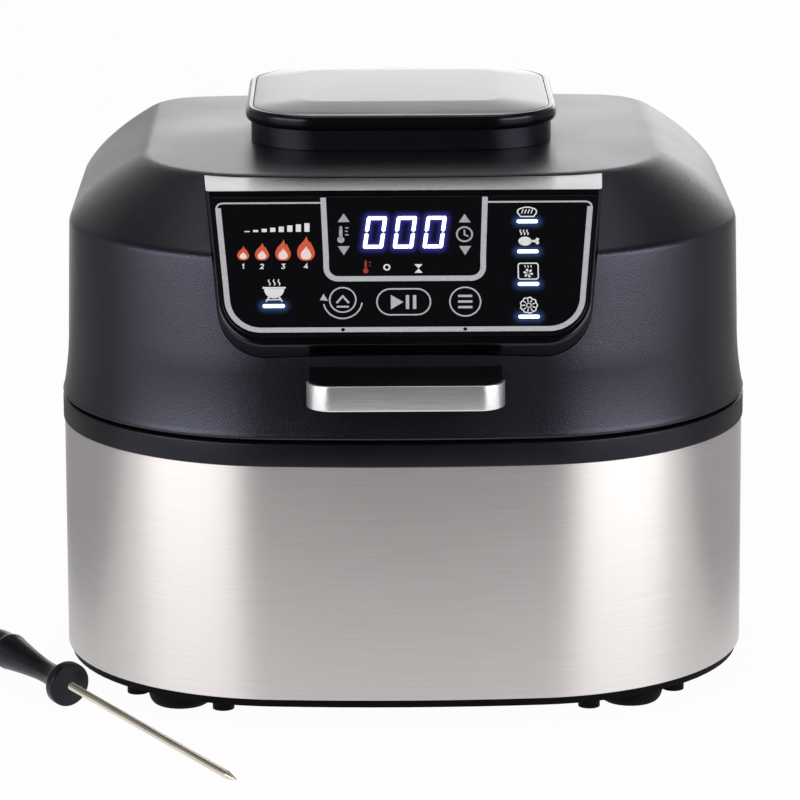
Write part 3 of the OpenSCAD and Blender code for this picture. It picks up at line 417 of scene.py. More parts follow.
lid_black = moulded("lid_black", (0.002, 0.002, 0.003), (0.003, 0.003, 0.0042), 0.31, 1500.0, 0.0003, 0.61)
rim_black = moulded("rim_black", (0.0025, 0.0025, 0.0035), (0.004, 0.004, 0.005), 0.34, 1500.0, 0.0002, 0.36)
bezel_black = moulded(
    "bezel_black", (0.0015, 0.0015, 0.002), (0.0025, 0.0025, 0.003), 0.22, 3200.0, 0.00001, 0.38
)
cap_black = moulded("cap_black", (0.003, 0.003, 0.0035), (0.0045, 0.0045, 0.005), 0.2, 3000.0, 0.00001, 0.3)
pan_black = moulded("pan_black", (0.0018, 0.0018, 0.002), (0.003, 0.003, 0.0034), 0.55, 1600.0, specular=0.06)
rubber_black = moulded(
    "rubber_black", (0.003, 0.003, 0.003), (0.0045, 0.0045, 0.0045), 0.7, 1800.0, specular=0.08
)
grip_black = moulded("grip_black", (0.004, 0.004, 0.0045), (0.006, 0.006, 0.0065), 0.28, 2800.0, 0.00003, 0.3)

# How far the scratches are drawn out: round the drum, or across the width
AROUND, ACROSS = (0.012, 0.012, 1.0), (0.012, 1.0, 1.0)
steel = brushed("steel", (0.672, 0.64, 0.632), (0.732, 0.7, 0.69), 0.45, AROUND, 0.88, "Z", metal=0.8)
plate_steel = brushed("plate_steel", (0.6, 0.577, 0.597), (0.66, 0.636, 0.657), 0.38, ACROSS, 0.4, "Y")
trim_steel = brushed(
    "trim_steel", (0.72, 0.71, 0.715), (0.88, 0.87, 0.875), 0.31, ACROSS, 0.7, "Z", metal=0.85
)
sheet_steel = plain_metal("sheet_steel", (0.4, 0.4, 0.4), (0.5, 0.5, 0.5), 0.36)
bright_steel = plain_metal("bright_steel", (0.6, 0.59, 0.56), (0.7, 0.69, 0.66), 0.2)
element_metal = plain_metal("element_metal", (0.1, 0.095, 0.09), (0.17, 0.155, 0.14), 0.45)
coated = moulded("coated", (0.02, 0.02, 0.021), (0.032, 0.032, 0.033), 0.4, 1600.0, 0.00005)
ceramic = moulded("ceramic", (0.62, 0.6, 0.55), (0.7, 0.68, 0.63), 0.6, 1500.0)
board_green = moulded("board_green", (0.015, 0.1, 0.035), (0.025, 0.14, 0.05), 0.35, 900.0)

GLASS_COLOUR = (0.004, 0.004, 0.005, 1)
glass_black, tree, shader = new_material("glass_black")
shader.inputs["Base Color"].default_value = GLASS_COLOUR
shader.inputs["Specular IOR Level"].default_value = 0.2
spread(tree, noise(tree, 25.0, detail=4.0), 0.05, 0.09, shader.inputs["Roughness"])

ink_silver = printed("ink_silver", (0.42, 0.43, 0.45), (0.5, 0.51, 0.53))
ink_grey = printed("ink_grey", (0.34, 0.34, 0.36), (0.42, 0.42, 0.44))
ink_white = printed("ink_white", (0.7, 0.7, 0.72), (0.8, 0.8, 0.82))
ink_red = printed("ink_red", (0.62, 0.08, 0.035), (0.72, 0.12, 0.05))
ink_dark_red = printed("ink_dark_red", (0.3, 0.03, 0.025), (0.38, 0.05, 0.04))
ink_pale = printed("ink_pale", (0.82, 0.66, 0.64), (0.88, 0.74, 0.72))
lit_white = glowing("lit_white", (0.9, 0.95, 1.0), 1.6)
lit_digit = glowing("lit_digit", (0.88, 0.9, 1.0), 1.8)
spike_steel = plain_metal("spike_steel", (0.63, 0.58, 0.48), (0.73, 0.68, 0.58), 0.2, relief=0.000003)
probe_black = moulded(
    "probe_black", (0.003, 0.003, 0.0034), (0.005, 0.005, 0.0055), 0.33, 2400.0, specular=0.3
)
shell_metal = moulded("shell_metal", (0.02, 0.02, 0.021), (0.03, 0.03, 0.031), 0.45, 1200.0)
seal_grey = moulded("seal_grey", (0.1, 0.1, 0.1), (0.14, 0.14, 0.14), 0.65, 1500.0)

# Light that spreads in the glass round a lit window, held in the mesh's own colour layer
glow, tree, shader = new_material("glow")
shader.inputs["Base Color"].default_value = GLASS_COLOUR
shader.inputs["Roughness"].default_value = 0.08
shader.inputs["Emission Strength"].default_value = 1.0
fade = add(tree, "ShaderNodeVertexColor", layer_name="fade")
tree.links.new(fade.outputs["Color"], shader.inputs["Emission Color"])


# Base: steel band, slightly wider at its foot and open behind for the back panel, and the black rim

BAND_LOW, BAND_UP, BAND_IN = -1.5, -0.8, 0.8
WINDOW_W, WINDOW_Y = 62.0, 100.0
band_profile = filleted([
    (BAND_LOW, BAND_Z, 0.5), (BAND_UP, BAND_TOP, 0.3), (BAND_IN, BAND_TOP, 0.3), (BAND_IN, BAND_Z, 0.3),
], 3)
band = sweep("band", band_profile, plan)
window = prism("window", rect(-WINDOW_W, WINDOW_Y, WINDOW_W, 200), 0, 200)
combine(band, window, "DIFFERENCE")
dress(band, "base", steel, ["steel_band"])

# Rim with the recess for the pot, two finger scoops and the flat hinge pads
RIM_FACE, STEP_Z = RIM_TOP - 0.4, 156.0
STEP_IN, RIM_IN = 18.0, 25.7
PAD_X, PAD_HALF = 80.0, 20.0
SCOOP_X, SCOOP_R = 153.0, 30.0
rim_profile = filleted([
    (-RIM_PROUD, BAND_TOP, 0.8), (-RIM_PROUD, RIM_FACE, 1.2), (STEP_IN, RIM_FACE, 0.8), (STEP_IN, STEP_Z, 0),
    (RIM_IN, STEP_Z, 0.5), (RIM_IN, BAND_TOP, 0.5),
])
rim = sweep("rim", rim_profile, plan)
for way in (-1, 1):
    pad = rect(way * PAD_X - PAD_HALF, 170, way * PAD_X + PAD_HALF, 188)
    combine(rim, prism("pad", pad, BAND_TOP, RIM_TOP), "UNION")
    scoop = lathe("scoop", [(0, STEP_Z), (SCOOP_R, STEP_Z), (SCOOP_R, 165), (0, 165)])
    place(scoop, Matrix.Translation((way * SCOOP_X, 0, 0)))
    combine(rim, scoop, "DIFFERENCE")
dress(rim, "base", rim_black, ["rim_ring"])


# Lid shell

def blend3(a, b, c, u):
    """A quadratic curve from a to c that leans on b."""
    return [p * (1 - u) ** 2 + 2 * q * u * (1 - u) + r * u * u for p, q, r in zip(a, b, c)]


def mix(a, b, u):
    """Values part of the way u from a to b."""
    return [p * (1 - u) + q * u for p, q in zip(a, b)]


FLARE_H, FLARE = 38, 4
SWELL = 6
# Each section is height, half width, front, back and the radii of the front and back corners
lip = [LID_Z] + [v + RIM_PROUD for v in (HALF_W, HALF_D, HALF_D, CORNER_R, CORNER_R)]
waist = [LID_Z + FLARE_H] + [v - FLARE for v in lip[1:]]
crease = [CREASE_Z, waist[1] - 1.5, waist[2] - 9.5, waist[3] - 4.5, waist[4] - 9.5, 90]
top_edge = [TOP_Z, 146, 108, 162, 70, 30]
flat_edge = [TOP_Z] + [v - 4 for v in top_edge[1:]]


def shoulder(u):
    """A section between the crease and the top, swelled at its sides and back."""
    k = SWELL * 4 * u * (1 - u)
    return [v + w for v, w in zip(mix(crease, top_edge, u), (0, k, 0, k, k / 2, k))]


# Rolled lower edge, flare up to the waist, wall, rounded crease, shoulder and rounded top edge
CREASE_FROM, CREASE_TO, TOP_FROM = 0.95, 0.06, 0.93
edge_roll = ((0.0, 1.9), (0.2, 1.1), (0.55, 0.5), (1.0, 0.15), (1.6, 0.0))
sections = [[LID_Z + up] + [v - back for v in lip[1:]] for up, back in edge_roll]
for k in range(1, 17):
    u = k / 16
    sections.append([LID_Z + FLARE_H * u] + [v - FLARE * (1 - (1 - u) ** 2) for v in lip[1:]])
before_crease, after_crease = mix(waist, crease, CREASE_FROM), shoulder(CREASE_TO)
sections += [mix(waist, before_crease, k / 6) for k in range(1, 6)]
sections += [blend3(before_crease, crease, after_crease, k / 12) for k in range(13)]
sections += [shoulder(CREASE_TO + (TOP_FROM - CREASE_TO) * k / 12) for k in range(1, 12)]
sections += [blend3(shoulder(TOP_FROM), top_edge, flat_edge, k / 8) for k in range(9)]


def section_ring(s, inset, drop):
    """Height and outline of a section, set in and lowered."""
    a, f, b, r, rb = [v - inset for v in s[1:]]
    return (s[0] - drop, outline(a, f, b, r, BOW_R - inset, rb=rb))


def wall_drop(z):
    """How far the inside lies under the outside at a height."""
    if z >= TOP_Z - 0.1:
        return WALL
    return WALL / 2 if z > CREASE_Z else 0


outer = [section_ring(s, 0, 0) for s in sections]
inner = [section_ring(s, WALL, wall_drop(s[0])) for s in sections]
shell = loft("lid_skin", inner[::-1] + outer)


# Panel frame: local X across, local Y up the slope and local Z out of the face

ON_PANEL = Matrix.Translation((0, PANEL_Y, PANEL_Z)) @ Matrix.Rotation(math.pi / 2 - PANEL_TILT, 4, "X")


def panel_points(e, y1, s1, r):
    """The panel's outline set in by e, from y1 above the top edge to s1 down the slope."""
    k = math.tan(PANEL_TAPER)
    w = PANEL_W / 2 - e / math.cos(PANEL_TAPER)
    yc = r - s1
    xc = w + k * (yc - r * math.sin(PANEL_TAPER)) - r * math.cos(PANEL_TAPER)
    lower = arc(xc, yc, r, 270, 360 - math.degrees(PANEL_TAPER), 28)
    return lower + [(w + k * y1, y1), (-w - k * y1, y1)] + [(-x, y) for x, y in lower[::-1]]


def ledge_point(back, down):
    """A point behind and below the panel's top edge, in the panel's frame."""
    s, c = math.sin(PANEL_TILT), math.cos(PANEL_TILT)
    return (back * s - down * c, -back * c - down * s)


# Housing: a block cut to the panel's outline, with a rounded outer edge of (depth, inset)
HOUSING_W, HOUSING_CUT, HOUSING_BACK, LEDGE_DROP = 214, 70, 24, 12
HOUSING_GAP, CLEAR_FRONT = 0.3, 20
BEAD = ((-HOUSING_CUT, 0.0), (-2.3, 0.0), (-1.45, 0.16), (-0.7, 0.66), (-0.17, 1.4), (0, 2.3))
# Half width, front, back and corner radius of the lid's flat top, which bounds the housing
ROOF_W, ROOF_FRONT, ROOF_BACK, ROOF_R = 146.3, 108.3, 162, 70.3


def bezel_block(name, g):
    """The wedge housing behind the panel, grown by g. With g over 0 it also clears what stands in front."""
    face = CLEAR_FRONT if g > 0 else 0
    profile = [(g, face)] if g > 0 else []
    profile += [
        ledge_point(0, -g), ledge_point(LEDGE + g, -g), ledge_point(LEDGE + g, LEDGE_DROP + g),
        (-LEDGE / 2, -HOUSING_BACK - g), (-PANEL_LEN - g, -HOUSING_BACK - g), (-PANEL_LEN - g, face),
    ]
    block = extrude_across(name, profile, HOUSING_W)
    top_y = LEDGE * math.sin(PANEL_TILT) + 1
    steps = ((-HOUSING_CUT, -g), (face, -g)) if g > 0 else BEAD
    rings = [(z, panel_points(e, top_y, PANEL_LEN - e, PANEL_R - e)) for z, e in steps]
    combine(block, loft("cut", rings), "INTERSECT")
    place(block, ON_PANEL)
    roof = outline(ROOF_W - g, ROOF_FRONT - g, ROOF_BACK, ROOF_R - g, BOW_R)
    combine(block, prism("roof", roof, CREASE_Z - 1, TOP_Z + 2), "DIFFERENCE")
    return block


SLOTS, SLOT_PITCH, SLOT_HALF = 11, 9, 2
SLOT_Z, SLOT_TOP = 205, 233
VENT_R, VENT_Y = 24, 28
combine(shell, bezel_block("cut", HOUSING_GAP), "DIFFERENCE")
for k in range(SLOTS):
    x = (k - SLOTS // 2) * SLOT_PITCH
    slot = prism("slot", rect(x - SLOT_HALF, 161, x + SLOT_HALF, 201), SLOT_Z, SLOT_TOP)
    combine(shell, slot, "DIFFERENCE")
vent = lathe("vent", [(0, 280), (VENT_R, 280), (VENT_R, 300), (0, 300)])
combine(shell, place(vent, Matrix.Translation((0, VENT_Y, 0))), "DIFFERENCE")
dress(shell, "lid", lid_black, ["lid_shell"])

# The glass sits in a recess, set in from the housing's sides, top and lower edge
GLASS_IN, GLASS_TOP, GLASS_END, GLASS_R = 2.7, 3.4, 5.2, 22
GLASS_GAP, GLASS_PROUD = 0.2, 0.2


def glass_points(g):
    """The glass's outline, grown by g."""
    return panel_points(GLASS_IN - g, g - GLASS_TOP, PANEL_LEN - GLASS_END + g, GLASS_R + g)


bezel = bezel_block("bezel", 0)
recess = prism("recess", glass_points(GLASS_GAP), -GLASS_T, 5)
combine(bezel, place(recess, ON_PANEL), "DIFFERENCE")
soften(bezel, 1.5, 4)
dress(bezel, "lid", bezel_black, ["panel_bezel"])

glass = prism("glass", glass_points(0), -GLASS_T, GLASS_PROUD)
soften(place(glass, ON_PANEL), 0.6)
dress(glass, "lid", glass_black, ["control_glass"])


# Handle: hooded grip with a steel band round its front

def handle_plan(g):
    """The handle's plan, grown by g."""
    w, r = HANDLE_W / 2 + g, HANDLE_R + g
    corner = arc(w - r, r - HANDLE_FRONT - g, r, 270, 360, 16)
    return corner + [(w, HANDLE_BACK), (-w, HANDLE_BACK)] + [(-x, y) for x, y in corner[::-1]]


HOLLOW_W, HOLLOW_FRONT, HOLLOW_BACK = 45.75, -204, -150
hood = HANDLE_Z + HANDLE_FACE
above = hood + 20
slope = [(HANDLE_TIP, hood), (HANDLE_BACK, hood + HANDLE_RISE), (HANDLE_BACK, above), (HANDLE_TIP, above)]
grip = prism("grip", handle_plan(0), HANDLE_Z, HANDLE_Z + HANDLE_FACE + HANDLE_RISE)
combine(grip, extrude_across("slope", slope, 60), "DIFFERENCE")
hollow = rect(-HOLLOW_W, HOLLOW_FRONT, HOLLOW_W, HOLLOW_BACK)
combine(grip, prism("hollow", hollow, HANDLE_Z - 5, hood - HANDLE_WALL), "DIFFERENCE")
combine(grip, loft("lid_body", [section_ring(s, -0.2, 0) for s in sections[1:]]), "DIFFERENCE")
soften(grip, 1.0)
dress(grip, "lid", grip_black, ["handle_grip"])

TRIM_OUT, TRIM_IN = 1.2, 0.2
# Rounded edges of the band: distance from the edge and inset
TRIM_ROLL = ((0.0, 0.5), (0.12, 0.26), (0.4, 0.08), (0.9, 0.0))


def trim_path(g):
    """The handle's front outline from one end of the band to the other, grown by g."""
    return from_middle([p for p in handle_plan(g) if p[1] < TRIM_BACK])


def trim_ring(z, roll):
    """Section of the band at a height, with its outside set in by roll."""
    return (z, trim_path(TRIM_OUT - roll) + trim_path(TRIM_IN)[::-1])


rolls = [trim_ring(HANDLE_Z + z, r) for z, r in TRIM_ROLL]
rolls += [trim_ring(hood - z, r) for z, r in TRIM_ROLL[::-1]]
trim = loft("trim", rolls, 40)
dress(trim, "lid", trim_steel, ["handle_trim"])


# Cap: black frame and bevelled steel plate over the vented neck

# Height over the neck and inset
FRAME_RINGS = (
    (3.7, 8.5), (0, 8.5), (0, 3.0), (0.2, 2.0), (0.9, 1.0), (1.8, 0.4), (3, 0.05), (4.3, 0), (5.8, 0),
    (6.7, 0.2), (7.5, 0.6), (8.1, 1.2), (8.4, 1.9), (8.5, 2.6), (8.5, 3.5), (8.3, 3.9), (7.9, 4.0),
    (6.3, 4.0),
)
cap_rim = loft("cap_rim", [(CAP_Z + up, cap_plan(t)) for up, t in FRAME_RINGS])
dress(cap_rim, "lid", cap_black, ["cap_frame"])

# From under the plate round its edge to its top: height over the neck, inset and corner radius
PLATE_RINGS = (
    (11, 30.3, 14), (7.9, 5.6, None), (6.3, 5.3, None), (6.3, 4.3, None), (7.9, 4.3, None),
    (8.35, 4.42, None), (8.7, 4.75, None), (8.9, 5.3, None), (11.4, 26.6, 16.5), (11.8, 29.3, 14.6),
    (11.95, 30.6, 13.8), (12, 32.2, 12.8),
)
cap_plate = loft("cap_top", [(CAP_Z + up, cap_plan(t, r)) for up, t, r in PLATE_RINGS], 50)
dress(cap_plate, "lid", plate_steel, ["cap_plate"])


# Feet: rounded rubber pads with a ring groove

FOOT_X, FOOT_Y = 125, 138
foot_profile = [
    (0, 0), (7, 0), (7.4, 0.9), (8.6, 0.9), (9, 0), (13.6, 0), (14.6, 0.2), (15.6, 0.8), (16.5, 1.8),
    (17.3, 3.2), (17.9, 5.0), (18.3, 7.0), (18.5, 9.0), (18.4, 9.8), (18.0, 10.3), (17.4, 10.45),
    (4, PAN_Z), (4, 13), (5.8, 13), (5.2, 14.2), (4.4, 15.4), (0, 15.4),
]
for end, sy in (("front", -1), ("rear", 1)):
    for hand, sx in (("left", -1), ("right", 1)):
        name = f"foot_{end}_{hand}"
        pad = lathe(name + "_pad", foot_profile, 80)
        place(pad, Matrix.Translation((sx * FOOT_X, sy * FOOT_Y, 0)))
        dress(pad, "base", rubber_black, [name])


# Pot: one smooth coated skin with a flange, a shoulder and a rounded floor

FLANGE_Z = 157.0
POT_Z = FLANGE_Z - 108
REST_Z = FLANGE_Z - 45


def quarter(z, t, r, a0, a1, n=7):
    """Arc of a section in (height, inset)."""
    return [(y, x) for x, y in arc(t, z, r, a0, a1, n)]


POT_IN, POT_FLOOR = 38, 2.5
pot_inner = quarter(POT_Z + POT_FLOOR + 12, POT_IN + 12, 12, 270, 180)
pot_inner += [(REST_Z - 1.2, POT_IN)] + quarter(REST_Z - 1.2, 36.8, 1.2, 0, 90, 4)
pot_inner += quarter(REST_Z + 1.6, 34.5, 1.6, 270, 180, 4)
pot_inner += [(FLANGE_Z - 3, 32.6)] + quarter(FLANGE_Z + 0.4, 30.6, 2, 0, 90, 6)
pot_outer = [(FLANGE_Z + 2.4, 20.4)] + quarter(FLANGE_Z + 1.2, 20.0, 1.2, 90, 270, 8)
pot_outer += [(FLANGE_Z, 29.2), (FLANGE_Z - 0.8, 30), (REST_Z - 1.5, 30.4), (REST_Z - 2.5, 35.5)]
pot_outer += quarter(POT_Z + 14, 35.6 + 14, 14, 180, 270)
pot = loft("pot_skin", [(z, plan(t)) for z, t in pot_inner + pot_outer], 40)
dress(pot, "pot", coated, ["cooking_pot"])


# Probe: turned handle and pointed spike, lying on the table

PROBE_LEAN = math.atan((FLANGE_R - SPIKE_R) / (SPIKE_LEN - POINT_LEN))
ON_PROBE = (
    Matrix.Translation((PROBE_X, PROBE_Y, FLANGE_R * math.cos(PROBE_LEAN)))
    @ Matrix.Rotation(PROBE_TURN, 4, "Z")
    @ Matrix.Rotation(math.pi / 2 + PROBE_LEAN, 4, "Y")
)


def between(a, b, c, d, u):
    """A cubic from b to c whose slope follows the neighbours a and d."""
    square = 2 * a - 5 * b + 4 * c - d
    cube = 3 * b - a - 3 * c + d
    return 0.5 * (2 * b + (c - a) * u + square * u * u + cube * u ** 3)


def smooth_path(points, steps=6):
    """A rounded path through points."""
    out = []
    n = len(points)
    for i in range(n - 1):
        near = points[max(i - 1, 0)], points[i], points[i + 1], points[min(i + 2, n - 1)]
        for k in range(steps):
            out.append(tuple(between(*values, k / steps) for values in zip(*near)))
    return out + [points[-1]]


# The probe is left out of the steel's reflections, as in the photograph
spike_tip = [(SPIKE_R, 150), (SPIKE_R, 154), (1.9, 156), (1.2, 159.6), (0.5, 162.3), (0.25, 162.8)]
spike = lathe("spike", [(0, -12), (SPIKE_R, -12)] + smooth_path(spike_tip, 4) + [(0, SPIKE_LEN)], 48)
spike.visible_glossy = False
dress(place(spike, ON_PROBE), "probe", spike_steel, ["probe_spike"])

grip_path = smooth_path([
    (11.6, -0.1), (12.3, -0.7), (FLANGE_R, -1.8), (FLANGE_R, -5.0), (12.2, -6.2), (11.2, -7.2), (9.2, -9.4),
    (7.6, -12.4), (6.6, -17), (6.2, -22), (6.3, -29), (7.0, -37), (8.0, -46), (9.0, -53.5), (9.9, -59.6),
    (10.3, -61.6), (10.4, -63), (10.1, -64.4), (9.5, -65.8), (9.3, -68), (9.2, -73), (8.7, -77.8),
    (7.4, -80.7), (5.6, -81.9),
])
flange_face = [(0, 1), (3.6, 1), (6.4, 0.6), (9, 0)]
cord_end = [(1.8, -82), (1.7, -72), (0, -72)]
handle = lathe("probe_grip", flange_face + grip_path + cord_end, 80)
handle.visible_glossy = False
dress(place(handle, ON_PROBE), "probe", probe_black, ["probe_handle"])


# Panel print: thin films on the glass, in millimetres across and down the slope

PRINT_LIFT = 0.26


def film(name, loops, material, lift=PRINT_LIFT):
    """Flat shapes on the glass: each loop is a closed outline, or a pair of equal outlines for a ring."""
    verts, faces = [], []
    for loop in loops:
        start = len(verts)
        if isinstance(loop, tuple):
            outer, inner = loop
            n = len(outer)
            verts += [(x, -s, lift) for x, s in outer + inner]
            for i in range(n):
                j = (i + 1) % n
                faces.append((start + i, start + j, start + n + j, start + n + i))
        else:
            verts += [(x, -s, lift) for x, s in loop]
            faces.append(tuple(range(start, start + len(loop))))
    obj = make(name, verts, faces)
    mesh = obj.data
    if mesh.polygons and sum(p.normal.z * p.area for p in mesh.polygons) < 0:
        mesh.flip_normals()
    place(obj, ON_PANEL)
    return dress(obj, "lid", material)


def circle(cx, cs, r, n=40):
    """Points of a disc."""
    return arc(cx, cs, r, 0, 360, n, 0, n - 1)


def ring(cx, cs, r, w, n=56):
    """Outer and inner points of a ring of width w."""
    return (circle(cx, cs, r + w / 2, n), circle(cx, cs, r - w / 2, n))


def stroke(path, w):
    """A line of width w along a path, with mitred bends."""
    left, right_side = [], []
    points = [Vector(p) for p in path]
    ways = [(q - p).normalized() for p, q in zip(points, points[1:])]
    for p, d0, d1 in zip(points, ways[:1] + ways, ways + ways[-1:]):
        t = (d0 + d1).normalized()
        m = Vector((-t.y, t.x)) * (w / 2 / max(0.4, t.dot(d1)))
        left.append(tuple(p + m))
        right_side.append(tuple(p - m))
    return left + right_side[::-1]


def round_rect(x0, s0, x1, s1, r, n=10):
    """Points of a rectangle with rounded corners."""
    return (
        arc(x1 - r, s0 + r, r, -90, 0, n) + arc(x1 - r, s1 - r, r, 0, 90, n)
        + arc(x0 + r, s1 - r, r, 90, 180, n) + arc(x0 + r, s0 + r, r, 180, 270, n)
    )


def wave(x, s0, s1, amp, n=12):
    """A rising curl of steam."""
    return [(x + amp * math.sin(2 * math.pi * i / n), s0 + (s1 - s0) * i / n) for i in range(n + 1)]


# Silver border, display frame and the fine lines that join them
border_out = from_middle([(x, -y) for x, y in panel_points(4.2, -10, 81.5, 20)])
border_in = from_middle([(x, -y) for x, y in panel_points(7.2, -10, 78.7, 17)])
corner_l = [(-101.2, 10.2), (-100.9, 8.9), (-100.0, 7.8), (-98.6, 7.3), (-97, 7.2), (-44, 7.2)]
film("border_print", [border_out + border_in[::-1]], ink_silver)
top_lines = [stroke(corner_l, 1.0), stroke([(-x, s) for x, s in corner_l], 1.0)]
film("top_lines", top_lines, ink_silver, PRINT_LIFT + 0.01)
frame_path = [(-43.7, 4.2), (-42.2, 38)] + arc(-35.6, 44.6, 6.5, 180, 90, 10)
frame_path += [(-x, s) for x, s in frame_path[::-1]]
film("display_frame", [stroke(frame_path, 3.0)], ink_silver, PRINT_LIFT + 0.02)
film("border_dots", [circle(-33.2, 80.1, 1.0), circle(32.0, 80.1, 1.0)], glass_black, PRINT_LIFT + 0.03)


# Lit digits

def zero(x, s, w, h, lean, t):
    """The six lit segments of a slanted 0 whose lower left corner is at (x, s + h)."""
    def at(u, v):
        return (x + u * w + lean * (1 - v), s + v * h)

    a, b = t / w, t / h
    gap, c = 0.035, 0.09
    end = 0.5 - 0.012
    left_up = [(0, 0.06), (c * 0.4, 0.02), (c, 0), (a, 0), (a, end - 0.05), (a * 0.45, end), (0, end - 0.04)]
    left_low = [(u, 1 - v) for u, v in left_up]
    bars = [rect(a + gap, 0, 1 - a - gap, b), rect(a + gap, 1 - b, 1 - a - gap, 1), left_up, left_low]
    bars += [[(1 - u, v) for u, v in left] for left in (left_up, left_low)]
    return [[at(u, v) for u, v in bar] for bar in bars]


segments = [bar for x in (-22.5, -6.4, 9.6) for bar in zero(x, 15.2, 10.9, 18.6, 2.5, 2.1)]
film("digits", segments, lit_digit)


def apart(p, a, b):
    """Distance of a point from a straight line between two others."""
    ab, ap = b - a, p - a
    return (ap - ab * min(1, max(0, ap.dot(ab) / ab.length_squared))).length


# How fast the light falls off round a window
FADE = 2.2


def halo(name, groups, reach, colour, lift, step=0.8):
    """Soft light round lit windows: a grid for each group, fading away from its nearest window."""
    verts, faces, levels = [], [], []
    for loops in groups:
        edges = [(Vector(p), Vector(q)) for loop in loops for p, q in zip(loop, loop[1:] + loop[:1])]
        across, down = zip(*[p for loop in loops for p in loop])
        x0, x1 = min(across) - reach, max(across) + reach
        s0, s1 = min(down) - reach, max(down) + reach
        nx, ns = int((x1 - x0) / step) + 1, int((s1 - s0) / step) + 1
        start = len(verts)
        for i in range(ns + 1):
            for j in range(nx + 1):
                q = Vector((x0 + (x1 - x0) * j / nx, s0 + (s1 - s0) * i / ns))
                near = min(apart(q, a, b) for a, b in edges)
                verts.append((q.x, -q.y, lift))
                levels.append(max(0, 1 - near / reach) ** FADE)
        for i in range(ns):
            for j in range(nx):
                k = start + i * (nx + 1) + j
                faces.append((k, k + 1, k + nx + 2, k + nx + 1))
    obj = make(name, verts, faces)
    layer = obj.data.color_attributes.new("fade", "FLOAT_COLOR", "POINT")
    for i, level in enumerate(levels):
        layer.data[i].color = (*[level * c for c in colour], 1)
    place(obj, ON_PANEL)
    return dress(obj, "lid", glow)


MARK_X, BAR_HALF = 66.2, 1.05


def bar_windows(r):
    """The lit bars under the grill mark and the programme marks, with ends of radius r."""
    bars = [(-70.2, 66.4, 5.9)] + [(MARK_X, s, 5.7) for s in (18.6, 35.9, 54.6, 73.3)]
    return [round_rect(x - w, s - BAR_HALF, x + w, s + BAR_HALF, r, 8) for x, s, w in bars]


film("lit_bars", bar_windows(1.0), lit_white)
halo("bar_glow", [[w] for w in bar_windows(1.25)], 4.5, (0.03, 0.07, 0.2), PRINT_LIFT - 0.03)
halo("digit_glow", [segments], 4.2, (0.035, 0.035, 0.3), PRINT_LIFT - 0.04)

# Arrows, thermometer and clock beside the digits
grey = [
    [(-32.6, 13.4), (-29.4, 18.4), (-35.9, 18.4)], [(-35.9, 32.3), (-29.4, 32.3), (-32.6, 37.6)],
    [(32.5, 14.0), (35.7, 19.0), (29.3, 19.0)], [(29.3, 32.6), (35.7, 32.6), (32.5, 37.9)],
    ring(32.3, 25.8, 4.1, 1.0), stroke([(32.3, 23.2), (32.3, 26.0), (34.4, 27.1)], 0.9),
    circle(-34.2, 28.6, 1.9), rect(-35.1, 21.6, -33.3, 28.0), circle(-34.2, 21.6, 0.9, 20),
    rect(-31.9, 21.4, -30.0, 22.1), rect(-31.9, 23.4, -30.6, 24.1), rect(-31.9, 25.4, -30.0, 26.1),
]
film("level_marks", grey, ink_grey)
red = [circle(-20.9, 46.6, 1.45), rect(-21.5, 41.2, -20.3, 45.6), circle(-20.9, 41.2, 0.6, 20),
       rect(-19.2, 41.4, -18.0, 42.0), rect(-19.2, 43.2, -18.4, 43.8)]
film("heat_mark", red, ink_dark_red)
hourglass = [[(5.2, s), (9.6, s), (7.4, 45.4)] for s in (42.9, 47.9)]
film("unit_marks", [ring(-9.6, 44.6, 1.5, 0.8, 32)] + hourglass, ink_white)

# Heat levels: a rising wedge, four flames and the numbers one to four
wedge = [rect(-86 + 4.6 * k, 23.9 - 0.62 * (k + 1), -83.2 + 4.6 * k, 23.9) for k in range(8)]
film("level_wedge", wedge, ink_white)


FLAME = (
    (0.05, 0.0), (0.22, 0.16), (0.34, 0.28), (0.44, 0.22), (0.75, 0.45), (0.98, 0.66), (0.86, 0.87),
    (0.45, 1.0), (-0.45, 1.0), (-0.88, 0.86), (-1.0, 0.64), (-0.8, 0.42), (-0.42, 0.26), (-0.12, 0.12),
    (0.05, 0.0),
)
# Middle, top, foot and half width of each flame
FLAMES = (
    (-86.6, 31.9, 39.9, 3.2), (-76.5, 30.2, 40.0, 3.8), (-65.2, 28.3, 40.2, 4.2), (-52.9, 26.4, 40.3, 4.8),
)


def flame(cx, top, base, hw):
    """A flame's outline."""
    return smooth_path([(cx + u * hw, top + v * (base - top)) for u, v in FLAME], 4)[:-1]


film("flames", [flame(*f) for f in FLAMES], ink_red)
cores = [flame(x, t + (b - t) * 0.42, b - 0.6, w * 0.6) for x, t, b, w in FLAMES]
film("flame_cores", cores, ink_pale, PRINT_LIFT + 0.02)
NUMERALS = (
    ((-0.5, 0.6), (0.2, 0), (0.2, 2.6)),
    ((-0.8, 0.5), (-0.4, 0.1), (0.4, 0.1), (0.8, 0.6), (0.6, 1.2), (-0.8, 2.5), (0.9, 2.5)),
    ((-0.8, 0.1), (0.8, 0.1), (0.0, 1.1), (0.7, 1.4), (0.8, 2.0), (0.3, 2.5), (-0.5, 2.5), (-0.9, 2.1)),
    ((0.4, 2.6), (0.4, 0.1), (-0.9, 1.8), (1.0, 1.8)),
)
NUMERAL_TOP = 42.4
labels = [stroke([(f[0] + u, NUMERAL_TOP + v) for u, v in path], 0.6) for f, path in zip(FLAMES, NUMERALS)]
film("level_numbers", labels, ink_white)

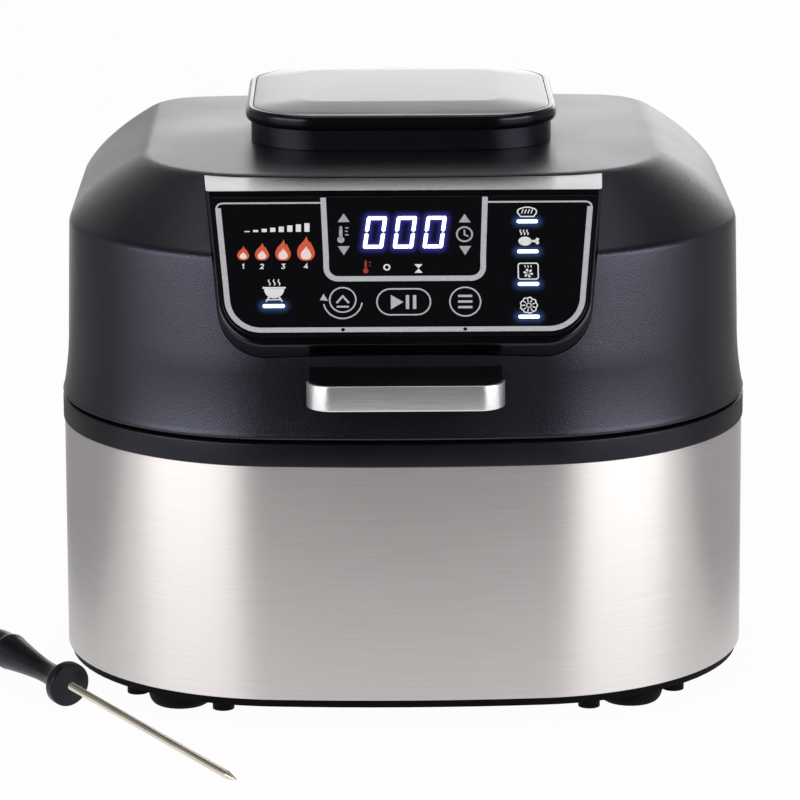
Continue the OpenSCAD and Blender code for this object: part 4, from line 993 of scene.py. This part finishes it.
# Grill mark over its lit bar
gx = -70.0
grill = [arc(gx, 56.6, 5.4, 0, 180, 20) + [(gx - 5.4, 56.6)]]
grill += [stroke([(gx - 6.2, 56.0), (gx + 6.2, 56.0)], 1.0)]
grill += [stroke([(gx + 2.4 * way, 61.0), (gx + 4.3 * way, 63.8)], 0.9) for way in (-1, 1)]
grill += [stroke([(gx - 3.4, 62.8), (gx + 3.4, 62.8)], 0.7)]
grill += [stroke(wave(gx + d, 54.6, 51.2, 0.45), 0.6) for d in (-2.6, 0, 2.6)]
film("grill_mark", grill, ink_white)

# Touch keys: heat or time, start and pause, and the menu
LINE = 0.8
key = [
    ring(-33.3, 63.1, 7.0, LINE), stroke(arc(-33.3, 63.3, 10.4, 8, 168, 30), LINE),
    [(-45.6, 63.2), (-41.2, 63.6), (-43.6, 59.6)],
    stroke([(-36.6, 64.9), (-33.3, 61.0), (-30.0, 64.9)], 1.1), stroke([(-36.6, 67.0), (-30.0, 67.0)], 1.0),
    (round_rect(-15.4, 56.6, 14.0, 72.2, 7.7, 14), round_rect(-14.6, 57.4, 13.2, 71.4, 6.9, 14)),
    [(-7.6, 60.4), (-0.9, 64.5), (-7.6, 68.7)],
    rect(0.4, 60.6, 2.2, 68.5), rect(4.2, 60.6, 6.0, 68.5),
    ring(32.2, 64.5, 8.2, LINE),
    rect(28.4, 60.6, 36.0, 61.9), rect(28.4, 63.8, 36.0, 65.1), rect(28.4, 67.0, 36.0, 68.3),
]
film("key_marks", key, ink_silver)

# Programme marks on the right: loaf, drumstick, fan box and round fritter, each over its bar
px = MARK_X
loaf_path = arc(px - 3.2, 13.0, 1.9, 125, 255, 8) + [(px - 1.2, 10.4), (px + 1.2, 10.4)]
loaf_path += arc(px + 3.2, 13.0, 1.9, -75, 55, 8) + [(px + 3.6, 15.8), (px - 3.6, 15.8), (px - 4.3, 14.6)]
loaf = [stroke(loaf_path, 0.7)]
loaf += [stroke([(px + d, 11.6), (px + d - 0.9, 14.0)], 0.6) for d in (-2.1, -0.4, 1.3, 3.0)]
thigh = [(px - 1.4 + 3.6 * u, 30.0 + 2.6 * v) for u, v in circle(0, 0, 1, 36)]
leg = [thigh, stroke([(px + 1.6, 30.0), (px + 4.8, 30.0)], 1.3)]
leg += [circle(px + 5.2, s, 1.0, 20) for s in (29.1, 30.9)]
leg += [stroke(wave(px + d, 26.4, 23.4, 0.4), 0.6) for d in (-3.6, -1.8, 0.0)]
fan_box = [(round_rect(px - 5.7, 42.4, px + 5.7, 52.2, 1.7), round_rect(px - 5.0, 43.1, px + 5.0, 51.5, 1.0))]
for k in range(6):
    a = math.radians(60 * k + 10)
    reach = ((0.4, 0.0), (2.4, -0.25), (2.7, 0.15), (1.9, 0.45))
    fan_box.append([(px + r * math.cos(a + b), 48.4 + r * math.sin(a + b)) for r, b in reach])
fan_box += [stroke(wave(px + d, 45.2, 43.8, 0.2, 6), 0.45) for d in (-1.6, 0.0, 1.6)]


def around(r, degrees, cs):
    """A point at a distance and angle from the middle of a programme mark."""
    a = math.radians(degrees)
    return (px + r * math.cos(a), cs + r * math.sin(a))


PETALS, FRITTER_S = 9, 66.8
petal_edge = [(3 * k, 1 + 0.05 * math.cos(math.radians(PETALS * 3 * k))) for k in range(120)]
fritter = [tuple([around(r * swell, a, FRITTER_S) for a, swell in petal_edge] for r in (4.7, 4.0))]
fritter += [ring(px, FRITTER_S, 1.2, 0.5, 24)]
for k in range(PETALS):
    fritter.append(stroke([around(r, 40 * k + 20, FRITTER_S) for r in (1.9, 3.7)], 0.6))
film("programme_marks", loaf + leg + fan_box + fritter, ink_white)


# Finishes of the solids that keep their own shape

HINGES = ["hinge_bracket_left", "hinge_bracket_right", "lid_hinge_left", "lid_hinge_right"]
FINISHES = (
    (pan_black, ["base_pan"]),
    (rim_black, ["back_panel", "lid_liner", "cap_neck", "cord_gland", "probe_jack", "cooling_fan",
                 "well_spacers", "thermal_cutout"]),
    (sheet_steel, ["inner_well", "heat_dome", "splash_guard", "motor_bracket", "heater_hangers",
                   "fan_motor"]),
    (bright_steel, ["hinge_pin_left", "hinge_pin_right", "motor_shaft", "fan_nut", "base_screws",
                    "convection_fan", "plate_loops"]),
    (shell_metal, HINGES),
    (coated, ["grill_plate"]),
    (element_metal, ["heating_element"]),
    (ceramic, ["heater_bushes", "terminal_block"]),
    (seal_grey, ["lid_seal"]),
    (board_green, ["power_board", "display_board"]),
    (lit_white, ["led_display"]),
)
# Radius of the rounding that some of them get on their sharp edges
ROUNDED = {"base_pan": 0.8, "cap_neck": 0.3, "grill_plate": 0.7, "lid_liner": 0.5, "splash_guard": 0.2}
ROUNDED.update(dict.fromkeys(HINGES, 0.6))
for material, names in FINISHES:
    for name in names:
        obj = nodes[name]
        for held in obj.material_slots:
            held.material = material
        weld(obj, ROUNDED.get(name, 0.0))


# Studio: pale floor, grey and black cards for the reflections, a pale sky, four soft lamps and the camera

def light_path(tree, shader_in, backdrop, lit):
    """What the camera and mirrors see, over what lights the object."""
    path = add(tree, "ShaderNodeLightPath")
    seen = path.outputs["Is Camera Ray"]
    for kind in ("Is Glossy Ray", "Is Transmission Ray"):
        either = add(tree, "ShaderNodeMath", operation="MAXIMUM")
        tree.links.new(seen, either.inputs[0])
        tree.links.new(path.outputs[kind], either.inputs[1])
        seen = either.outputs[0]
    blend = add(tree, "ShaderNodeMixShader")
    tree.links.new(seen, blend.inputs[0])
    tree.links.new(lit.outputs[0], blend.inputs[1])
    tree.links.new(backdrop.outputs[0], blend.inputs[2])
    tree.links.new(blend.outputs[0], shader_in)


def bare_material(name):
    """A material, its otherwise empty tree and that tree's surface socket."""
    material = bpy.data.materials.new(name)
    material.use_nodes = True
    material.node_tree.nodes.clear()
    out = add(material.node_tree, "ShaderNodeOutputMaterial")
    return material, material.node_tree, out.inputs["Surface"]


# Half the floor's side, and the share of its look that is even white, the rest being its shaded paint
FLOOR, FLOOR_GLOW = 6000, 0.97
floor_paint, tree, surface = bare_material("floor_paint")
matte = add(tree, "ShaderNodeBsdfDiffuse", Color=(0.8, 0.8, 0.8, 1))
glow_floor = add(tree, "ShaderNodeEmission", Color=(1, 1, 1, 1), Strength=1.0)
shaded = add(tree, "ShaderNodeMixShader", Fac=FLOOR_GLOW)
tree.links.new(matte.outputs[0], shaded.inputs[1])
tree.links.new(glow_floor.outputs[0], shaded.inputs[2])
light_path(tree, surface, shaded, matte)

floor = make("floor", [(x, y, 0) for x, y in rect(-FLOOR, -FLOOR, FLOOR, FLOOR)], [(0, 1, 2, 3)])
floor.data.materials.append(floor_paint)


def card_paint(name, level):
    """Plain card of one even tone."""
    material, tree, surface = bare_material(name)
    shade = add(tree, "ShaderNodeEmission", Color=(level, level, level, 1), Strength=1.0)
    tree.links.new(shade.outputs[0], surface)
    return material


black_card, grey_card = card_paint("black_card", 0.01), card_paint("grey_card", 0.3)
CARD_Z, CARD_TOP = 2, 560
DRAPE_W, DRAPE_Y, DRAPE_TOP = 1500, -3300, 3000


def lying(points, z=CARD_Z):
    """Corners of a level card."""
    return [(x, y, z) for x, y in points]


def standing(x0, y0, x1, y1, top):
    """Corners of an upright card between two points of the floor."""
    return [(x0, y0, CARD_Z), (x1, y1, CARD_Z), (x1, y1, top), (x0, y0, top)]


# The grey ones stand and lie beside the drum, the black ones hang and lie in front of it
CARDS = (
    ("side_left", grey_card, standing(-850, -120, -540, 760, CARD_TOP)),
    ("side_right", grey_card, standing(850, -120, 540, 760, CARD_TOP)),
    ("floor_left", grey_card, lying([(-280, -60), (-840, -120), (-540, 760), (-280, 760)])),
    ("floor_right", grey_card, lying([(265, -60), (840, -120), (540, 760), (265, 760)])),
    ("floor_front", black_card, lying([(-1700, -3000), (1700, -3000), (300, -560), (-300, -560)])),
    ("drape", black_card, standing(-DRAPE_W, DRAPE_Y, DRAPE_W, DRAPE_Y, DRAPE_TOP)),
    ("ceiling", black_card, lying(rect(-DRAPE_W, DRAPE_Y, DRAPE_W, -700), DRAPE_TOP)),
)
for name, paint, corners in CARDS:
    card = make(name, corners, [(0, 1, 2, 3)])
    card.data.materials.append(paint)
    card.visible_camera = False
    card.visible_diffuse = False
    card.visible_shadow = False

world = bpy.data.worlds.new("studio")
world.use_nodes = True
bpy.context.scene.world = world
tree = world.node_tree
tree.nodes.clear()
out = add(tree, "ShaderNodeOutputWorld")
coords = add(tree, "ShaderNodeTexCoord")
parts = add(tree, "ShaderNodeSeparateXYZ")
tree.links.new(coords.outputs["Generated"], parts.inputs[0])
# White at the horizon and darker overhead
sky = add(tree, "ShaderNodeValToRGB")
horizon, overhead = sky.color_ramp.elements
horizon.position, horizon.color = 0.2, (1, 1, 1, 1)
overhead.position, overhead.color = 1.0, (0.1, 0.1, 0.11, 1)
for height, level in ((0.5, 0.2), (0.68, 0.12)):
    sky.color_ramp.elements.new(height).color = (level, level, level, 1)
tree.links.new(parts.outputs["Z"], sky.inputs["Fac"])
seen_sky = add(tree, "ShaderNodeBackground", Strength=1.0)
tree.links.new(sky.outputs["Color"], seen_sky.inputs["Color"])
ambient = add(tree, "ShaderNodeBackground", Color=(1, 1, 1, 1), Strength=0.25)
light_path(tree, out.inputs["Surface"], seen_sky, ambient)


def softbox(name, place_at, target, width, height, power):
    """A soft area light that faces a point, in metres and watts."""
    lamp = bpy.data.lights.new(name, "AREA")
    lamp.shape = "RECTANGLE"
    lamp.size = width
    lamp.size_y = height
    lamp.energy = power
    obj = bpy.data.objects.new(name, lamp)
    bpy.context.scene.collection.objects.link(obj)
    aim = Vector(target) - Vector(place_at)
    obj.rotation_euler = aim.to_track_quat("-Z", "Y").to_euler()
    obj.location = place_at
    obj.visible_camera = False


softbox("left_box", (-1.88, -1.55, 0.9), (0, 0, 0.15), 2.3, 1.1, 31)
softbox("right_box", (1.94, -1.45, 0.9), (0, 0, 0.15), 2.1, 1.1, 31)
softbox("top_box", (0, 0.3, 2.4), (0, 0, 0.2), 1.6, 1.6, 10)
softbox("back_box", (1.5, 3.2, 0.8), (0.4, 0, 0.3), 4.2, 1.1, 25)

bpy.context.scene.view_settings.view_transform = "Standard"

# Camera, from the photograph's viewing angle

SENSOR, FOCAL_PX, PHOTO_PX = 36, 4250.8, 800
eye = Vector((-22, -2400, 728.6)) * MM
turn, dip, roll = 0.0086, 0.2412, 0.004
forward = Vector((math.sin(turn) * math.cos(dip), math.cos(turn) * math.cos(dip), -math.sin(dip)))
right = Vector((math.cos(turn), -math.sin(turn), 0))
up = right.cross(forward)
side = right * math.cos(roll) - up * math.sin(roll)
top = right * math.sin(roll) + up * math.cos(roll)
camera = bpy.data.objects.new("camera", bpy.data.cameras.new("camera"))
bpy.context.scene.collection.objects.link(camera)
axes = Matrix((side, top, -forward)).transposed()
camera.matrix_world = Matrix.Translation(eye) @ axes.to_4x4()
camera.data.sensor_width = SENSOR
camera.data.lens = SENSOR * FOCAL_PX / PHOTO_PX
camera.data.clip_end = 50
bpy.context.scene.camera = camera
